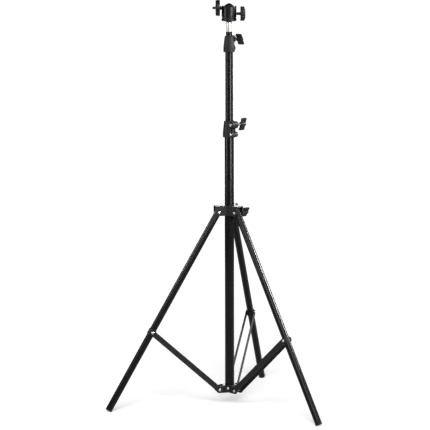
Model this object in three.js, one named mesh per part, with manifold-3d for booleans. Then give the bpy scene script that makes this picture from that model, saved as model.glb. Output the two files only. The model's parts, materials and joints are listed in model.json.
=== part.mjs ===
// Folding light stand: three legs braced from a lower hub, a sliding leg collar, a three-section
// telescopic mast with two clamp collars, and a small ball head with a round camera platform.
// Units are millimetres, +Z is up and the stand rests on z = 0. Everything is laid out around the
// mast axis; the last lines move the finished stand so that its bounding box is centred on the origin.

import * as THREE from 'three';
import { mergeVertices } from 'three/addons/utils/BufferGeometryUtils.js';
import Module from 'manifold-3d';

const wasm = await Module();
wasm.setup();

const rad = THREE.MathUtils.degToRad;
const { asin, atan2, cos, hypot, sin, sqrt, PI } = Math;

// ---- fits ------------------------------------------------------------------------------------------

const RUNNING_GAP = 0.3; // between faces that slide or turn past each other
const SEAT_GAP = 0.1; // between pieces that are pressed, screwed or riveted together
const BEVEL = 1; // of moulded edges
const WELD = 1e-4; // corners closer than this are one corner

// ---- roundness: sides of a full turn ---------------------------------------------------------------

const TUBE_SIDES = 24;
const LEG_SIDES = 20;
const KNOB_SIDES = 20;
const SCREW_SIDES = 12;
const CURVE_STEPS = 4;
const SEAT_STEPS = 8; // of the ball seat's arc

// ---- mast tubes, the thinnest first ----------------------------------------------------------------

const MAST_WALL = 1.2;
const MAST_3_WALL = 1;
const MAST_SLIDE = 0.55; // between one tube and the next
const MAST_3_RADIUS = 7.5;
const MAST_2_RADIUS = MAST_3_RADIUS + MAST_SLIDE + MAST_WALL;
const MAST_1_RADIUS = MAST_2_RADIUS + MAST_SLIDE + MAST_WALL;
const BARREL_WALL = 3.5; // of the hub and the collar around the first tube
const HINGE_ROOM = 4.5; // between their barrels and a leg or brace that stands upright

// ---- legs and braces -------------------------------------------------------------------------------

const LEG_AZIMUTHS = { rear: 73, left: 193, right: 313 }; // degrees from +X towards +Y
const LEG_SPREAD = rad(30); // leg against the mast, fully open
const LEG_LENGTH = 532; // hinge pin to the end of the foot cap
const LEG_RADIUS = 8;
const LEG_WALL = 1.2;
const LEG_TOP = 9.5; // tube end above its hinge pin
const LEG_HINGE_RADIUS = MAST_1_RADIUS + BARREL_WALL + HINGE_ROOM + LEG_RADIUS; // mast axis to the pins
const FOOT_CAP_THICK = 4;
const FOOT_CAP_EDGE = 0.6;
const FOOT_PLUG_DEPTH = 14;

const BRACE_POINT = 322; // leg hinge pin to the brace rivet, along the leg
const BRACE_WIDTH = 13;
const BRACE_THICK = 1.5;
const SADDLE_LENGTH = 14;
const SADDLE_WALL = 1.2;
const SADDLE_FLAT_WALL = 0.9; // saddle wall left in the middle of its flat sides
const LEG_RIVET_RADIUS = 2;
const RIVET_HEAD_RADIUS = 3.3;
const RIVET_HEAD_HEIGHT = 1.6;

// ---- lower hub -------------------------------------------------------------------------------------

const HUB_PIN_HEIGHT = 40; // above the floor
const HUB_PIN_RADIUS = MAST_1_RADIUS + BARREL_WALL + HINGE_ROOM + LEG_RADIUS; // mast axis to the pins
const HUB_BARREL_RADIUS = MAST_1_RADIUS + BARREL_WALL;
const HUB_TOP = 10; // above the brace pins
const HUB_BOTTOM = 6; // below the brace pins
const HUB_FLOOR = 3;
const EAR_THICK = 1.6;
const HUB_WALL = 3;
const EAR_ROUND = 8; // radius of an ear around its pin
const EAR_SHOULDER = rad(50); // where the ear's round end meets its sloping top edge
const EAR_ROOT = 4; // flat top of the ears beyond the barrel
const PIN_RADIUS = 2;
const HUB_SCREW_AZIMUTH = 253;
const HUB_SCREW_RISE = 3; // above the brace pins
const HUB_SCREW_RADIUS = 1.6;

// ---- leg collar ------------------------------------------------------------------------------------

const COLLAR_BARREL_RADIUS = MAST_1_RADIUS + BARREL_WALL;
const COLLAR_BOTTOM = 8.5; // below the hinge pins
const CHEEK_THICK = 2.6;
const CHEEK_ROUND = 8.5;
const COLLAR_ROOF = 2.3;
const LEG_PIN_RADIUS = 2.5;
const COLLAR_KNOB_AZIMUTH = 22;
const COLLAR_KNOB_DROP = 4; // knob axis below the hinge pins
const COLLAR_BOSS_RADIUS = 8;
const COLLAR_BOSS_REACH = MAST_1_RADIUS + 18; // mast axis to the face of the boss

// ---- lengths of the mast ---------------------------------------------------------------------------

const MAST_1_SPARE = 45.5; // bare tube between the folded collar and the first clamp
const MAST_2_BARE = 160; // bare tube between the clamps
const MAST_3_BARE = 10; // bare tube above the second clamp
const MAST_2_TAIL = 5; // left under the second section when it is pushed right in
const END_BUSH_FLANGE = 4;
const END_BUSH_PLUG = 8;

// ---- clamp collars on the mast ---------------------------------------------------------------------

const LOCK_1 = {
  height: 39,
  baseRadius: MAST_1_RADIUS + 4,
  topRadius: MAST_2_RADIUS + 2.95,
  seat: 18, // depth that the outer tube reaches into the clamp
  lowerTube: MAST_1_RADIUS,
  upperTube: MAST_2_RADIUS,
  azimuth: 305, // direction of the ears
  knobSide: 1, // knob towards +1 or -1 of the ears' tangent
  bossReach: MAST_1_RADIUS + 6, // mast axis to the screws
  bossHalf: 8.5, // half the width over the two ears
  knobGap: 7.7, // bare thread between clamp and knob
  knobTurn: 20,
};
const LOCK_2 = {
  height: 37.5,
  baseRadius: MAST_2_RADIUS + 4.15,
  topRadius: MAST_3_RADIUS + 2.9,
  seat: 17,
  lowerTube: MAST_2_RADIUS,
  upperTube: MAST_3_RADIUS,
  azimuth: 68,
  knobSide: -1,
  bossReach: MAST_2_RADIUS + 6.25,
  bossHalf: 7.5,
  knobGap: 2.9,
  knobTurn: 36,
};
const CLAMP_SLIT = 1.6;
const CLAMP_RIM = 1.6; // bevel of the clamp's ends
const UPPER_BOSS_RADIUS = 8.5;
const UPPER_BOSS_CONE = 3;
const UPPER_BOSS_NOSE = 4.4;
const LOWER_BOSS_RADIUS = 6.4;
const LOWER_BOSS_HEIGHT = 8; // its axis above the clamp's lower end
const WEB_HALF = 4;
const WEB_REACH = 2.4; // beyond the screws

// ---- screws and wing knobs -------------------------------------------------------------------------

const KNOB_SCREW_RADIUS = 2.5;
const NUT_ACROSS = 8; // across flats
const NUT_THICK = 4;
const NUT_POCKET = 2; // depth of the hexagonal pocket in a clamp ear
const SCREW_TAIL = 1.2; // thread beyond the nut
const FIXING_SCREW_RADIUS = 2;
const FIXING_HEAD_RADIUS = 3.6;
const FIXING_HEAD_HEIGHT = 2.2;
const KNOB_HUB_RADIUS = 5.4;
const KNOB_HUB_LENGTH = 15;
const WING_SPAN = 32;
const WING_BACK = 1; // wing tips behind the hub's face
const WING_LENGTH = 16.5; // along the screw
const WING_THICK = 5.4;
const WING_CORNER = 3.6;
const KNOB_BORE = 9.5; // depth of the screw in the knob
const WING_HOLLOW = 1.6; // dip of the outer end between the wing tips
const COLLAR_KNOB_GAP = 3.5;
const COLLAR_KNOB_TURN = 42;

// ---- spigot and ball head --------------------------------------------------------------------------

const SPIGOT_RADIUS = MAST_3_RADIUS - 0.9;
const SPIGOT_NECK = SPIGOT_RADIUS - 0.9;
const SPIGOT_LENGTH = 23;
const SPIGOT_PLUG = 26;
const STUD_RADIUS = 3.1; // quarter-inch thread
const SPIGOT_STUD = 9;
const HEAD_RADIUS = 17.4;
const HEAD_BOSS_RADIUS = 7.5;
const HEAD_BOSS_HEIGHT = 1.6;
const HEAD_RING_HEIGHT = 6.4;
const HEAD_GROOVE = 1.8;
const HEAD_GROOVE_DEPTH = 1.6;
const HEAD_THREAD_RADIUS = 13;
const HEAD_THREAD_HEIGHT = 4.6;
const HOUSING_HEIGHT = 26.8;
const HOUSING_EDGE = 1.6;
const BALL_RADIUS = 11;
const BALL_SINK = 5; // ball centre below the top of the housing
const SEAT_DROP = 4; // ball centre above the lower end of the housing's seat
const STEM_RADIUS = 3.8;
const STEM_FLANGE = 1; // thickness of the flange behind the platform, and of its cone
const STEM_FLANGE_RADIUS = 5;
const PLATFORM_OFFSET = 20.7; // ball centre to the back of the platform
const PLATFORM_RADIUS = 18.6;
const PLATFORM_THICK = 7.6;
const PAD_THICK = 2.8;
const STEM_SEAT = 4; // stem end inside the platform
const CAMERA_STUD_LENGTH = 7.6; // beyond the pad
const HEAD_KNOB_RADIUS = 16.8;
const HEAD_KNOB_START = 25.8; // mast axis to the knob's inner face
const HEAD_KNOB_NECK = 3.4; // radius of the neck that reaches back to the housing
const HEAD_KNOB_RIM = 9.8;
const HEAD_KNOB_DOME = 3;
const HEAD_KNOB_FLUTES = 20;
const FLUTE_RADIUS = 1.3;
const FLUTE_SIDES = 8;
const HEAD_KNOB_RISE = 8.4; // its axis above the lower edge of the housing
const HEAD_SCREW_RADIUS = 2.3;

// ---- places worked out from the sizes above --------------------------------------------------------

const COLLAR_Z = LEG_LENGTH * cos(LEG_SPREAD) + (LEG_RADIUS - FOOT_CAP_EDGE) * sin(LEG_SPREAD);
const BRACE_RUN = LEG_HINGE_RADIUS + BRACE_POINT * sin(LEG_SPREAD) - HUB_PIN_RADIUS;
const BRACE_RISE = COLLAR_Z - BRACE_POINT * cos(LEG_SPREAD) - HUB_PIN_HEIGHT;
const BRACE_LENGTH = hypot(BRACE_RUN, BRACE_RISE);
const BRACE_ANGLE = atan2(BRACE_RUN, BRACE_RISE);
const FOLDED_LEAN = LEG_HINGE_RADIUS - HUB_PIN_RADIUS;
const FOLD_TRAVEL = HUB_PIN_HEIGHT + sqrt(BRACE_LENGTH ** 2 - FOLDED_LEAN ** 2) + BRACE_POINT - COLLAR_Z;

const EAR_INNER = LEG_RADIUS + RUNNING_GAP;
const EAR_OUTER = EAR_INNER + EAR_THICK;
const BRACE_AT_HUB = EAR_OUTER + RUNNING_GAP; // inner face of a brace bar
const SADDLE_FLAT = LEG_RADIUS + SEAT_GAP + SADDLE_FLAT_WALL; // leg axis to the flat sides
const BRACE_AT_LEG = SADDLE_FLAT + RUNNING_GAP;
const BRACE_SPLAY = asin((BRACE_AT_HUB - BRACE_AT_LEG) / BRACE_LENGTH);

const CHEEK_INNER = LEG_RADIUS + RUNNING_GAP;
const CHEEK_OUTER = CHEEK_INNER + CHEEK_THICK;
const COLLAR_CEILING = hypot(LEG_TOP, LEG_RADIUS) + RUNNING_GAP; // a turning leg end passes under it
const COLLAR_TOP = COLLAR_CEILING + COLLAR_ROOF;
const CHEEK_REACH = LEG_HINGE_RADIUS + CHEEK_ROUND;
const COLLAR_NUT_START = MAST_1_RADIUS + 1; // mast axis to the captive nut

const MAST_FOOT_Z = HUB_PIN_HEIGHT - HUB_BOTTOM + HUB_FLOOR;
const LOCK_1_Z = COLLAR_Z + FOLD_TRAVEL + COLLAR_TOP + MAST_1_SPARE;
const LOCK_2_Z = LOCK_1_Z + LOCK_1.height + MAST_2_BARE;
const MAST_1_TOP = LOCK_1_Z + LOCK_1.seat - SEAT_GAP;
const MAST_2_TOP = LOCK_2_Z + LOCK_2.seat - SEAT_GAP;
const MAST_3_TOP = LOCK_2_Z + LOCK_2.height + MAST_3_BARE;
const MAST_2_FOOT_Z = MAST_FOOT_Z + MAST_2_BARE + MAST_2_TAIL;
const MAST_3_FOOT_Z = MAST_2_FOOT_Z + END_BUSH_FLANGE + END_BUSH_PLUG + RUNNING_GAP;

const HEAD_Z = MAST_3_TOP + SPIGOT_LENGTH;
const RING_Z = HEAD_BOSS_HEIGHT + HEAD_RING_HEIGHT; // heights from here on are above HEAD_Z
const HOUSING_Z = RING_Z + HEAD_GROOVE;
const HOUSING_TOP_Z = HOUSING_Z + HOUSING_HEIGHT;
const BALL_Z = HOUSING_TOP_Z - BALL_SINK;
const HEAD_KNOB_Z = HOUSING_Z + HEAD_KNOB_RISE;

// ---- materials -------------------------------------------------------------------------------------

const MATERIALS = {
  blackTube: { color: 0x141414, roughness: 0.32, metalness: 0.5 },
  blackSteel: { color: 0x1c1c1c, roughness: 0.5, metalness: 0.3 },
  blackPlastic: { color: 0x1a1a1a, roughness: 0.6, metalness: 0 },
  blackAluminium: { color: 0x161616, roughness: 0.4, metalness: 0.6 },
  rubber: { color: 0x121212, roughness: 0.9, metalness: 0 },
  steel: { color: 0xc4c6c8, roughness: 0.25, metalness: 1 },
  nickel: { color: 0xd6d7d8, roughness: 0.2, metalness: 1 },
  greyPlastic: { color: 0x77797c, roughness: 0.6, metalness: 0 },
};

// ---- shape helpers ---------------------------------------------------------------------------------

// A closed three.js geometry as a manifold, with shared corners and without collapsed triangles.
function solid(geometry) {
  const bare = geometry.index ? geometry.toNonIndexed() : geometry.clone();
  bare.deleteAttribute('normal');
  bare.deleteAttribute('uv');
  const welded = mergeVertices(bare, WELD);
  const corners = welded.index.array;
  const kept = [];
  for (let i = 0; i < corners.length; i += 3) {
    const [a, b, c] = corners.slice(i, i + 3);
    if (a !== b && b !== c && c !== a) kept.push(a, b, c);
  }
  const mesh = new wasm.Mesh({
    numProp: 3,
    vertProperties: welded.attributes.position.array,
    triVerts: Uint32Array.from(kept),
  });
  return new wasm.Manifold(mesh);
}

function geometryOf(manifold) {
  const mesh = manifold.getMesh();
  const geometry = new THREE.BufferGeometry();
  geometry.setAttribute('position', new THREE.BufferAttribute(mesh.vertProperties, 3));
  geometry.setIndex(new THREE.BufferAttribute(mesh.triVerts, 1));
  geometry.computeVertexNormals();
  return geometry;
}

const union = (...shapes) => shapes.reduce((all, next) => all.add(next));
const cut = (body, ...tools) => body.subtract(union(...tools));

// Turns a [radius, height] outline around an axis. The outline runs outward at the bottom and back in at
// the top; one that misses the axis closes on itself.
function turned(outline, sides, axis = 'z') {
  const points = outline.map(([radius, height]) => new THREE.Vector2(radius, height));
  const [first] = outline;
  if (first[0] > 0) points.push(new THREE.Vector2(...first));
  const geometry = new THREE.LatheGeometry(points, sides);
  if (axis !== 'y') geometry.rotateX(PI / 2);
  if (axis === 'x') geometry.rotateY(PI / 2);
  return solid(geometry);
}

function rod(radius, from, to, sides, axis = 'z') {
  return turned([[0, from], [radius, from], [radius, to], [0, to]], sides, axis);
}

function tube(outer, inner, from, to, sides, axis = 'z') {
  return turned([[inner, from], [outer, from], [outer, to], [inner, to]], sides, axis);
}

function hexagon(across, from, to, axis) {
  return rod(across / 2 / cos(PI / 6), from, to, 6, axis);
}

// A box given by its low and high corners.
function block([x0, y0, z0], [x1, y1, z1]) {
  const geometry = new THREE.BoxGeometry(x1 - x0, y1 - y0, z1 - z0);
  return solid(geometry.translate((x0 + x1) / 2, (y0 + y1) / 2, (z0 + z1) / 2));
}

// Extrudes a shape drawn in the X-Z plane, half its thickness to each side of y.
function slab(shape, thickness, y = 0, steps = CURVE_STEPS) {
  const options = { depth: thickness, bevelEnabled: false, curveSegments: steps };
  const geometry = new THREE.ExtrudeGeometry(shape, options);
  return solid(geometry.translate(0, 0, -thickness / 2).rotateX(PI / 2).translate(0, y, 0));
}

// Points of an arc, for turned outlines.
function arc(centre, radius, from, to, steps) {
  const points = [];
  for (let i = 0; i <= steps; i += 1) {
    const angle = from + ((to - from) * i) / steps;
    points.push([centre[0] + radius * cos(angle), centre[1] + radius * sin(angle)]);
  }
  return points;
}

const moved = (shape, x, y, z) => shape.translate(x, y, z);

function mesh(name, shape, material) {
  const piece = new THREE.Mesh(geometryOf(shape), new THREE.MeshStandardMaterial(MATERIALS[material]));
  piece.name = name;
  return piece;
}

function group(pieces, [x, y, z] = [0, 0, 0]) {
  const holder = new THREE.Group();
  holder.position.set(x, y, z);
  holder.add(...pieces);
  return holder;
}

// A group turned about the mast so that its own +X points away from the mast at that azimuth.
function spoke(azimuth, pieces, z = 0) {
  const holder = group(pieces, [0, 0, z]);
  holder.rotation.z = rad(azimuth);
  return holder;
}

// ---- fasteners -------------------------------------------------------------------------------------

// Outline of a low domed head that sits on height 0.
function domedHead(radius, height) {
  return [[radius, 0], [radius, height * 0.45], [radius * 0.72, height * 0.86], [0, height]];
}

// A rivet through a whole joint, a domed head outside each face.
function doubleHeadedPin(radius, halfLength) {
  const head = domedHead(RIVET_HEAD_RADIUS, RIVET_HEAD_HEIGHT).map(([r, h]) => [r, h + halfLength]);
  const otherHead = head.map(([r, h]) => [r, -h]).reverse();
  return turned([...otherHead, [radius, -halfLength], [radius, halfLength], ...head], SCREW_SIDES, 'y');
}

// A rivet with its head on +Y and its shank ending at -shank.
function headedRivet(radius, shank) {
  const head = domedHead(RIVET_HEAD_RADIUS, RIVET_HEAD_HEIGHT);
  return turned([[0, -shank], [radius, -shank], [radius, 0], ...head], SCREW_SIDES, 'y');
}

function nut(axis) {
  const bore = KNOB_SCREW_RADIUS + RUNNING_GAP;
  return cut(hexagon(NUT_ACROSS, 0, NUT_THICK, axis), rod(bore, -1, NUT_THICK + 1, SCREW_SIDES, axis));
}

// Wing knob on the +X axis. The hub starts at x = 0 and has a blind bore for the screw; the wing tips
// reach back a little and the outer end is hollow between them.
function wingKnob() {
  const half = WING_SPAN / 2;
  const start = -WING_BACK;
  const end = WING_LENGTH - WING_BACK;
  const outline = new THREE.Shape();
  outline.moveTo(2 * WING_BACK, 0);
  outline.quadraticCurveTo(2 * WING_BACK, -half / 2, start, WING_CORNER - half);
  outline.absarc(start + WING_CORNER, WING_CORNER - half, WING_CORNER, -PI, -PI / 2, false);
  outline.absarc(end - WING_CORNER, WING_CORNER - half, WING_CORNER, -PI / 2, 0, false);
  outline.quadraticCurveTo(end - 2 * WING_HOLLOW, 0, end, half - WING_CORNER);
  outline.absarc(end - WING_CORNER, half - WING_CORNER, WING_CORNER, 0, PI / 2, false);
  outline.absarc(start + WING_CORNER, half - WING_CORNER, WING_CORNER, PI / 2, PI, false);
  outline.quadraticCurveTo(2 * WING_BACK, half / 2, 2 * WING_BACK, 0);
  const hub = turned([
    [0, 0], [KNOB_HUB_RADIUS - BEVEL, 0], [KNOB_HUB_RADIUS, BEVEL],
    [KNOB_HUB_RADIUS, KNOB_HUB_LENGTH - 2 * BEVEL], [KNOB_HUB_RADIUS - 2 * BEVEL, KNOB_HUB_LENGTH],
    [0, KNOB_HUB_LENGTH],
  ], SCREW_SIDES, 'x');
  const bore = rod(KNOB_SCREW_RADIUS + SEAT_GAP, -1, KNOB_BORE, SCREW_SIDES, 'x');
  return cut(union(slab(outline, WING_THICK), hub), bore);
}

// Screw and knob on one +X axis: the screw runs from its tail to half-way through the knob.
function knobAndScrew(prefix, tail, knobStart, turn) {
  const tip = knobStart + KNOB_BORE - RUNNING_GAP;
  const bevel = 0.5;
  const screw = turned([
    [0, tail], [KNOB_SCREW_RADIUS - bevel, tail], [KNOB_SCREW_RADIUS, tail + bevel],
    [KNOB_SCREW_RADIUS, tip], [0, tip],
  ], SCREW_SIDES, 'x');
  const knob = mesh(`${prefix}_knob`, moved(wingKnob(), knobStart, 0, 0), 'blackPlastic');
  const pair = group([mesh(`${prefix}_screw`, screw, 'steel'), knob]);
  pair.rotation.x = rad(turn);
  return pair;
}

// ---- clamp collar that joins two mast tubes --------------------------------------------------------

// The ears point along +X, the screws run along Y and the clamp's lower end is at z = 0.
function clampBody(lock) {
  const { height, baseRadius, topRadius, seat, bossReach, bossHalf } = lock;
  const sleeve = turned([
    [0, 0], [baseRadius - CLAMP_RIM, 0], [baseRadius, CLAMP_RIM], [baseRadius, height * 0.3],
    [topRadius, height - CLAMP_RIM], [topRadius - CLAMP_RIM, height], [0, height],
  ], TUBE_SIDES);
  const screwZ = height - UPPER_BOSS_RADIUS;
  const nose = bossHalf + UPPER_BOSS_CONE;
  const upperBoss = moved(turned([
    [0, -bossHalf], [UPPER_BOSS_RADIUS - 1, -bossHalf], [UPPER_BOSS_RADIUS, 1 - bossHalf],
    [UPPER_BOSS_RADIUS, bossHalf - 1], [UPPER_BOSS_RADIUS - 1, bossHalf], [UPPER_BOSS_NOSE, nose], [0, nose],
  ], KNOB_SIDES, 'y'), bossReach, 0, screwZ);
  const lowerBoss = moved(turned([
    [0, -bossHalf], [LOWER_BOSS_RADIUS - 1, -bossHalf], [LOWER_BOSS_RADIUS, 1 - bossHalf],
    [LOWER_BOSS_RADIUS, bossHalf - 1], [LOWER_BOSS_RADIUS - 2, bossHalf + 1.2], [0, bossHalf + 1.2],
  ], KNOB_SIDES, 'y'), bossReach, 0, LOWER_BOSS_HEIGHT);
  const web = block([0, -WEB_HALF, LOWER_BOSS_HEIGHT], [bossReach + WEB_REACH, WEB_HALF, screwZ]);
  const slitEnd = bossReach + UPPER_BOSS_RADIUS + 1;
  const slit = block([0, -CLAMP_SLIT / 2, -1], [slitEnd, CLAMP_SLIT / 2, height + 1]);
  const lowerBore = rod(lock.lowerTube + SEAT_GAP, -1, seat, TUBE_SIDES);
  const upperBore = rod(lock.upperTube + RUNNING_GAP / 2, seat - 1, height + 1, TUBE_SIDES);
  const knobHole = rod(KNOB_SCREW_RADIUS + RUNNING_GAP, -bossHalf - 1, nose + 1, SCREW_SIDES, 'y');
  const pocket = hexagon(NUT_ACROSS + 2 * SEAT_GAP, -bossHalf - 1, NUT_POCKET - bossHalf, 'y');
  const fixingHole = rod(FIXING_SCREW_RADIUS + SEAT_GAP, -bossHalf - 1, bossHalf - 1, SCREW_SIDES, 'y');
  return cut(union(sleeve, upperBoss, lowerBoss, web), slit, lowerBore, upperBore,
    moved(knobHole, bossReach, 0, screwZ), moved(pocket, bossReach, 0, screwZ),
    moved(fixingHole, bossReach, 0, LOWER_BOSS_HEIGHT));
}

function clampFixingScrew(lock) {
  const end = lock.bossHalf - 1 - RUNNING_GAP;
  const head = domedHead(FIXING_HEAD_RADIUS, FIXING_HEAD_HEIGHT).map(([r, h]) => [r, -h - lock.bossHalf]);
  const shank = [[FIXING_SCREW_RADIUS, -lock.bossHalf], [FIXING_SCREW_RADIUS, end], [0, end]];
  const screw = turned([...head.reverse(), ...shank], SCREW_SIDES, 'y');
  return moved(screw, lock.bossReach, 0, LOWER_BOSS_HEIGHT);
}

// The clamp with its nut, fixing screw, thumb screw and knob. A clamp whose knob is on the other side is
// the mirror image of the first.
function clamp(name, lock, z) {
  const screwZ = lock.height - UPPER_BOSS_RADIUS;
  const nutStart = NUT_POCKET - SEAT_GAP - lock.bossHalf - NUT_THICK;
  const nutShape = moved(nut('y'), lock.bossReach, nutStart, screwZ);
  const side = (shape) => (lock.knobSide > 0 ? shape : shape.mirror([0, 1, 0]));
  const fixed = [
    mesh(`${name}_clamp`, side(clampBody(lock)), 'blackPlastic'),
    mesh(`${name}_nut`, side(nutShape), 'steel'),
    mesh(`${name}_fixing_screw`, side(clampFixingScrew(lock)), 'steel'),
  ];
  const tail = -(lock.bossHalf + NUT_THICK - NUT_POCKET + SCREW_TAIL);
  const knobStart = lock.bossHalf + UPPER_BOSS_CONE + lock.knobGap;
  const turning = knobAndScrew(name, tail, knobStart, lock.knobTurn);
  const holder = group([turning], [lock.bossReach, 0, screwZ]);
  holder.rotation.z = (lock.knobSide * PI) / 2;
  return spoke(lock.azimuth, [...fixed, holder], z);
}

// ---- lower hub -------------------------------------------------------------------------------------

// A barrel on the mast axis with a bevel at both ends.
function barrelWithBevels(radius, from, to) {
  return turned([
    [0, from], [radius - BEVEL, from], [radius, from + BEVEL],
    [radius, to - BEVEL], [radius - BEVEL, to], [0, to],
  ], TUBE_SIDES);
}

// One pair of ears on the +X side, drawn around the brace pin.
function hubEars() {
  const outline = new THREE.Shape();
  outline.moveTo(0, -EAR_ROUND);
  outline.lineTo(HUB_PIN_RADIUS, -EAR_ROUND);
  outline.absarc(HUB_PIN_RADIUS, 0, EAR_ROUND, -PI / 2, EAR_SHOULDER, false);
  outline.lineTo(HUB_BARREL_RADIUS + EAR_ROOT, HUB_TOP);
  outline.lineTo(0, HUB_TOP);
  outline.closePath();
  const slot = block([HUB_BARREL_RADIUS + EAR_ROOT / 2, -EAR_INNER, -EAR_ROUND - 1],
    [HUB_PIN_RADIUS + EAR_ROUND + 1, EAR_INNER, HUB_TOP + 1]);
  const pinHole = rod(PIN_RADIUS + SEAT_GAP, -EAR_OUTER - 1, EAR_OUTER + 1, SCREW_SIDES, 'y');
  return cut(slab(outline, 2 * EAR_OUTER), slot, moved(pinHole, HUB_PIN_RADIUS, 0, 0));
}

function lowerHub() {
  const ears = Object.values(LEG_AZIMUTHS).map((azimuth) => hubEars().rotate([0, 0, azimuth]));
  const barrel = barrelWithBevels(HUB_BARREL_RADIUS, -HUB_BOTTOM, HUB_TOP);
  const under = rod(HUB_BARREL_RADIUS - HUB_WALL, -EAR_ROUND - 1, -HUB_BOTTOM, TUBE_SIDES);
  const bore = rod(MAST_1_RADIUS + SEAT_GAP, HUB_FLOOR - HUB_BOTTOM, HUB_TOP + 1, TUBE_SIDES);
  const hole = rod(HUB_SCREW_RADIUS + SEAT_GAP, MAST_1_RADIUS - 2, HUB_BARREL_RADIUS + 6, SCREW_SIDES, 'x');
  const spotRadius = RIVET_HEAD_RADIUS + SEAT_GAP;
  const spotFace = rod(spotRadius, HUB_BARREL_RADIUS, HUB_BARREL_RADIUS + 6, SCREW_SIDES, 'x');
  const aimed = moved(union(hole, spotFace), 0, 0, HUB_SCREW_RISE).rotate([0, 0, HUB_SCREW_AZIMUTH]);
  return cut(union(barrel, ...ears), under, bore, aimed);
}

function hubScrew() {
  const inner = MAST_1_RADIUS - MAST_WALL;
  const seat = HUB_BARREL_RADIUS + SEAT_GAP;
  const head = domedHead(RIVET_HEAD_RADIUS, RIVET_HEAD_HEIGHT).map(([r, h]) => [r, h + seat]);
  return turned([[0, inner], [HUB_SCREW_RADIUS, inner], [HUB_SCREW_RADIUS, seat], ...head], SCREW_SIDES, 'x');
}

function hubPin() {
  return doubleHeadedPin(PIN_RADIUS, BRACE_AT_HUB + BRACE_THICK + RUNNING_GAP);
}

// ---- leg collar ------------------------------------------------------------------------------------

// One clevis on the +X side, drawn around the leg hinge pin and still without its slot.
function collarClevis() {
  const outline = new THREE.Shape();
  outline.moveTo(0, -COLLAR_BOTTOM);
  outline.lineTo(LEG_HINGE_RADIUS, -CHEEK_ROUND);
  outline.absarc(LEG_HINGE_RADIUS, 0, CHEEK_ROUND, -PI / 2, 0, false);
  outline.lineTo(CHEEK_REACH, COLLAR_TOP - 1);
  outline.lineTo(CHEEK_REACH - 1, COLLAR_TOP);
  outline.lineTo(0, COLLAR_TOP);
  outline.closePath();
  const pinHole = rod(LEG_PIN_RADIUS + SEAT_GAP, -CHEEK_OUTER - 1, CHEEK_OUTER + 1, SCREW_SIDES, 'y');
  return cut(slab(outline, 2 * CHEEK_OUTER), moved(pinHole, LEG_HINGE_RADIUS, 0, 0));
}

// Room for one leg end between the cheeks and under the roof.
function collarSlot() {
  return block([COLLAR_BARREL_RADIUS, -CHEEK_INNER, -COLLAR_BOTTOM - 1],
    [CHEEK_REACH + 1, CHEEK_INNER, COLLAR_CEILING]);
}

function legCollar() {
  const azimuths = Object.values(LEG_AZIMUTHS);
  const clevises = azimuths.map((azimuth) => collarClevis().rotate([0, 0, azimuth]));
  const slots = azimuths.map((azimuth) => collarSlot().rotate([0, 0, azimuth]));
  const barrel = barrelWithBevels(COLLAR_BARREL_RADIUS, -COLLAR_BOTTOM, COLLAR_TOP);
  const face = COLLAR_BOSS_REACH;
  const bossRound = turned([
    [0, 0], [COLLAR_BOSS_RADIUS, 0], [COLLAR_BOSS_RADIUS, face - BEVEL], [COLLAR_BOSS_RADIUS - BEVEL, face],
    [0, face],
  ], KNOB_SIDES, 'x');
  const bossShoulder = block([0, -COLLAR_BOSS_RADIUS, 0],
    [face - BEVEL, COLLAR_BOSS_RADIUS, COLLAR_CEILING + COLLAR_KNOB_DROP]);
  const threadHole = rod(KNOB_SCREW_RADIUS + RUNNING_GAP, 1, face + 1, SCREW_SIDES, 'x');
  const nutPocket = hexagon(NUT_ACROSS + 2 * SEAT_GAP, 1, COLLAR_NUT_START + NUT_THICK + SEAT_GAP, 'x');
  const toKnob = (shape) => moved(shape, 0, 0, -COLLAR_KNOB_DROP).rotate([0, 0, COLLAR_KNOB_AZIMUTH]);
  const lowest = -COLLAR_KNOB_DROP - COLLAR_BOSS_RADIUS - 1;
  const bore = rod(MAST_1_RADIUS + RUNNING_GAP, lowest, COLLAR_TOP + 1, TUBE_SIDES);
  const whole = union(barrel, toKnob(union(bossRound, bossShoulder)), ...clevises);
  return cut(whole, bore, toKnob(union(threadHole, nutPocket)), ...slots);
}

function collarParts() {
  const pins = Object.entries(LEG_AZIMUTHS).map(([side, azimuth]) => {
    const pin = mesh(`leg_pin_${side}`, doubleHeadedPin(LEG_PIN_RADIUS, CHEEK_OUTER + SEAT_GAP), 'steel');
    pin.position.x = LEG_HINGE_RADIUS;
    return spoke(azimuth, [pin]);
  });
  const nutPiece = mesh('collar_nut', moved(nut('x'), COLLAR_NUT_START, 0, 0), 'steel');
  const tail = MAST_1_RADIUS + RUNNING_GAP;
  const turning = knobAndScrew('collar', tail, COLLAR_BOSS_REACH + COLLAR_KNOB_GAP, COLLAR_KNOB_TURN);
  const knobSpoke = spoke(COLLAR_KNOB_AZIMUTH, [nutPiece, turning], -COLLAR_KNOB_DROP);
  return group([mesh('leg_collar', legCollar(), 'blackPlastic'), ...pins, knobSpoke], [0, 0, COLLAR_Z]);
}

// ---- one leg and its brace -------------------------------------------------------------------------

// The leg hangs down from its hinge pin along -Z.
function legTube() {
  const lower = FOOT_CAP_THICK - LEG_LENGTH + SEAT_GAP;
  const shell = tube(LEG_RADIUS, LEG_RADIUS - LEG_WALL, lower, LEG_TOP, LEG_SIDES);
  const hole = rod(LEG_PIN_RADIUS + RUNNING_GAP, -LEG_RADIUS - 1, LEG_RADIUS + 1, SCREW_SIDES, 'y');
  return cut(shell, hole);
}

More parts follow.
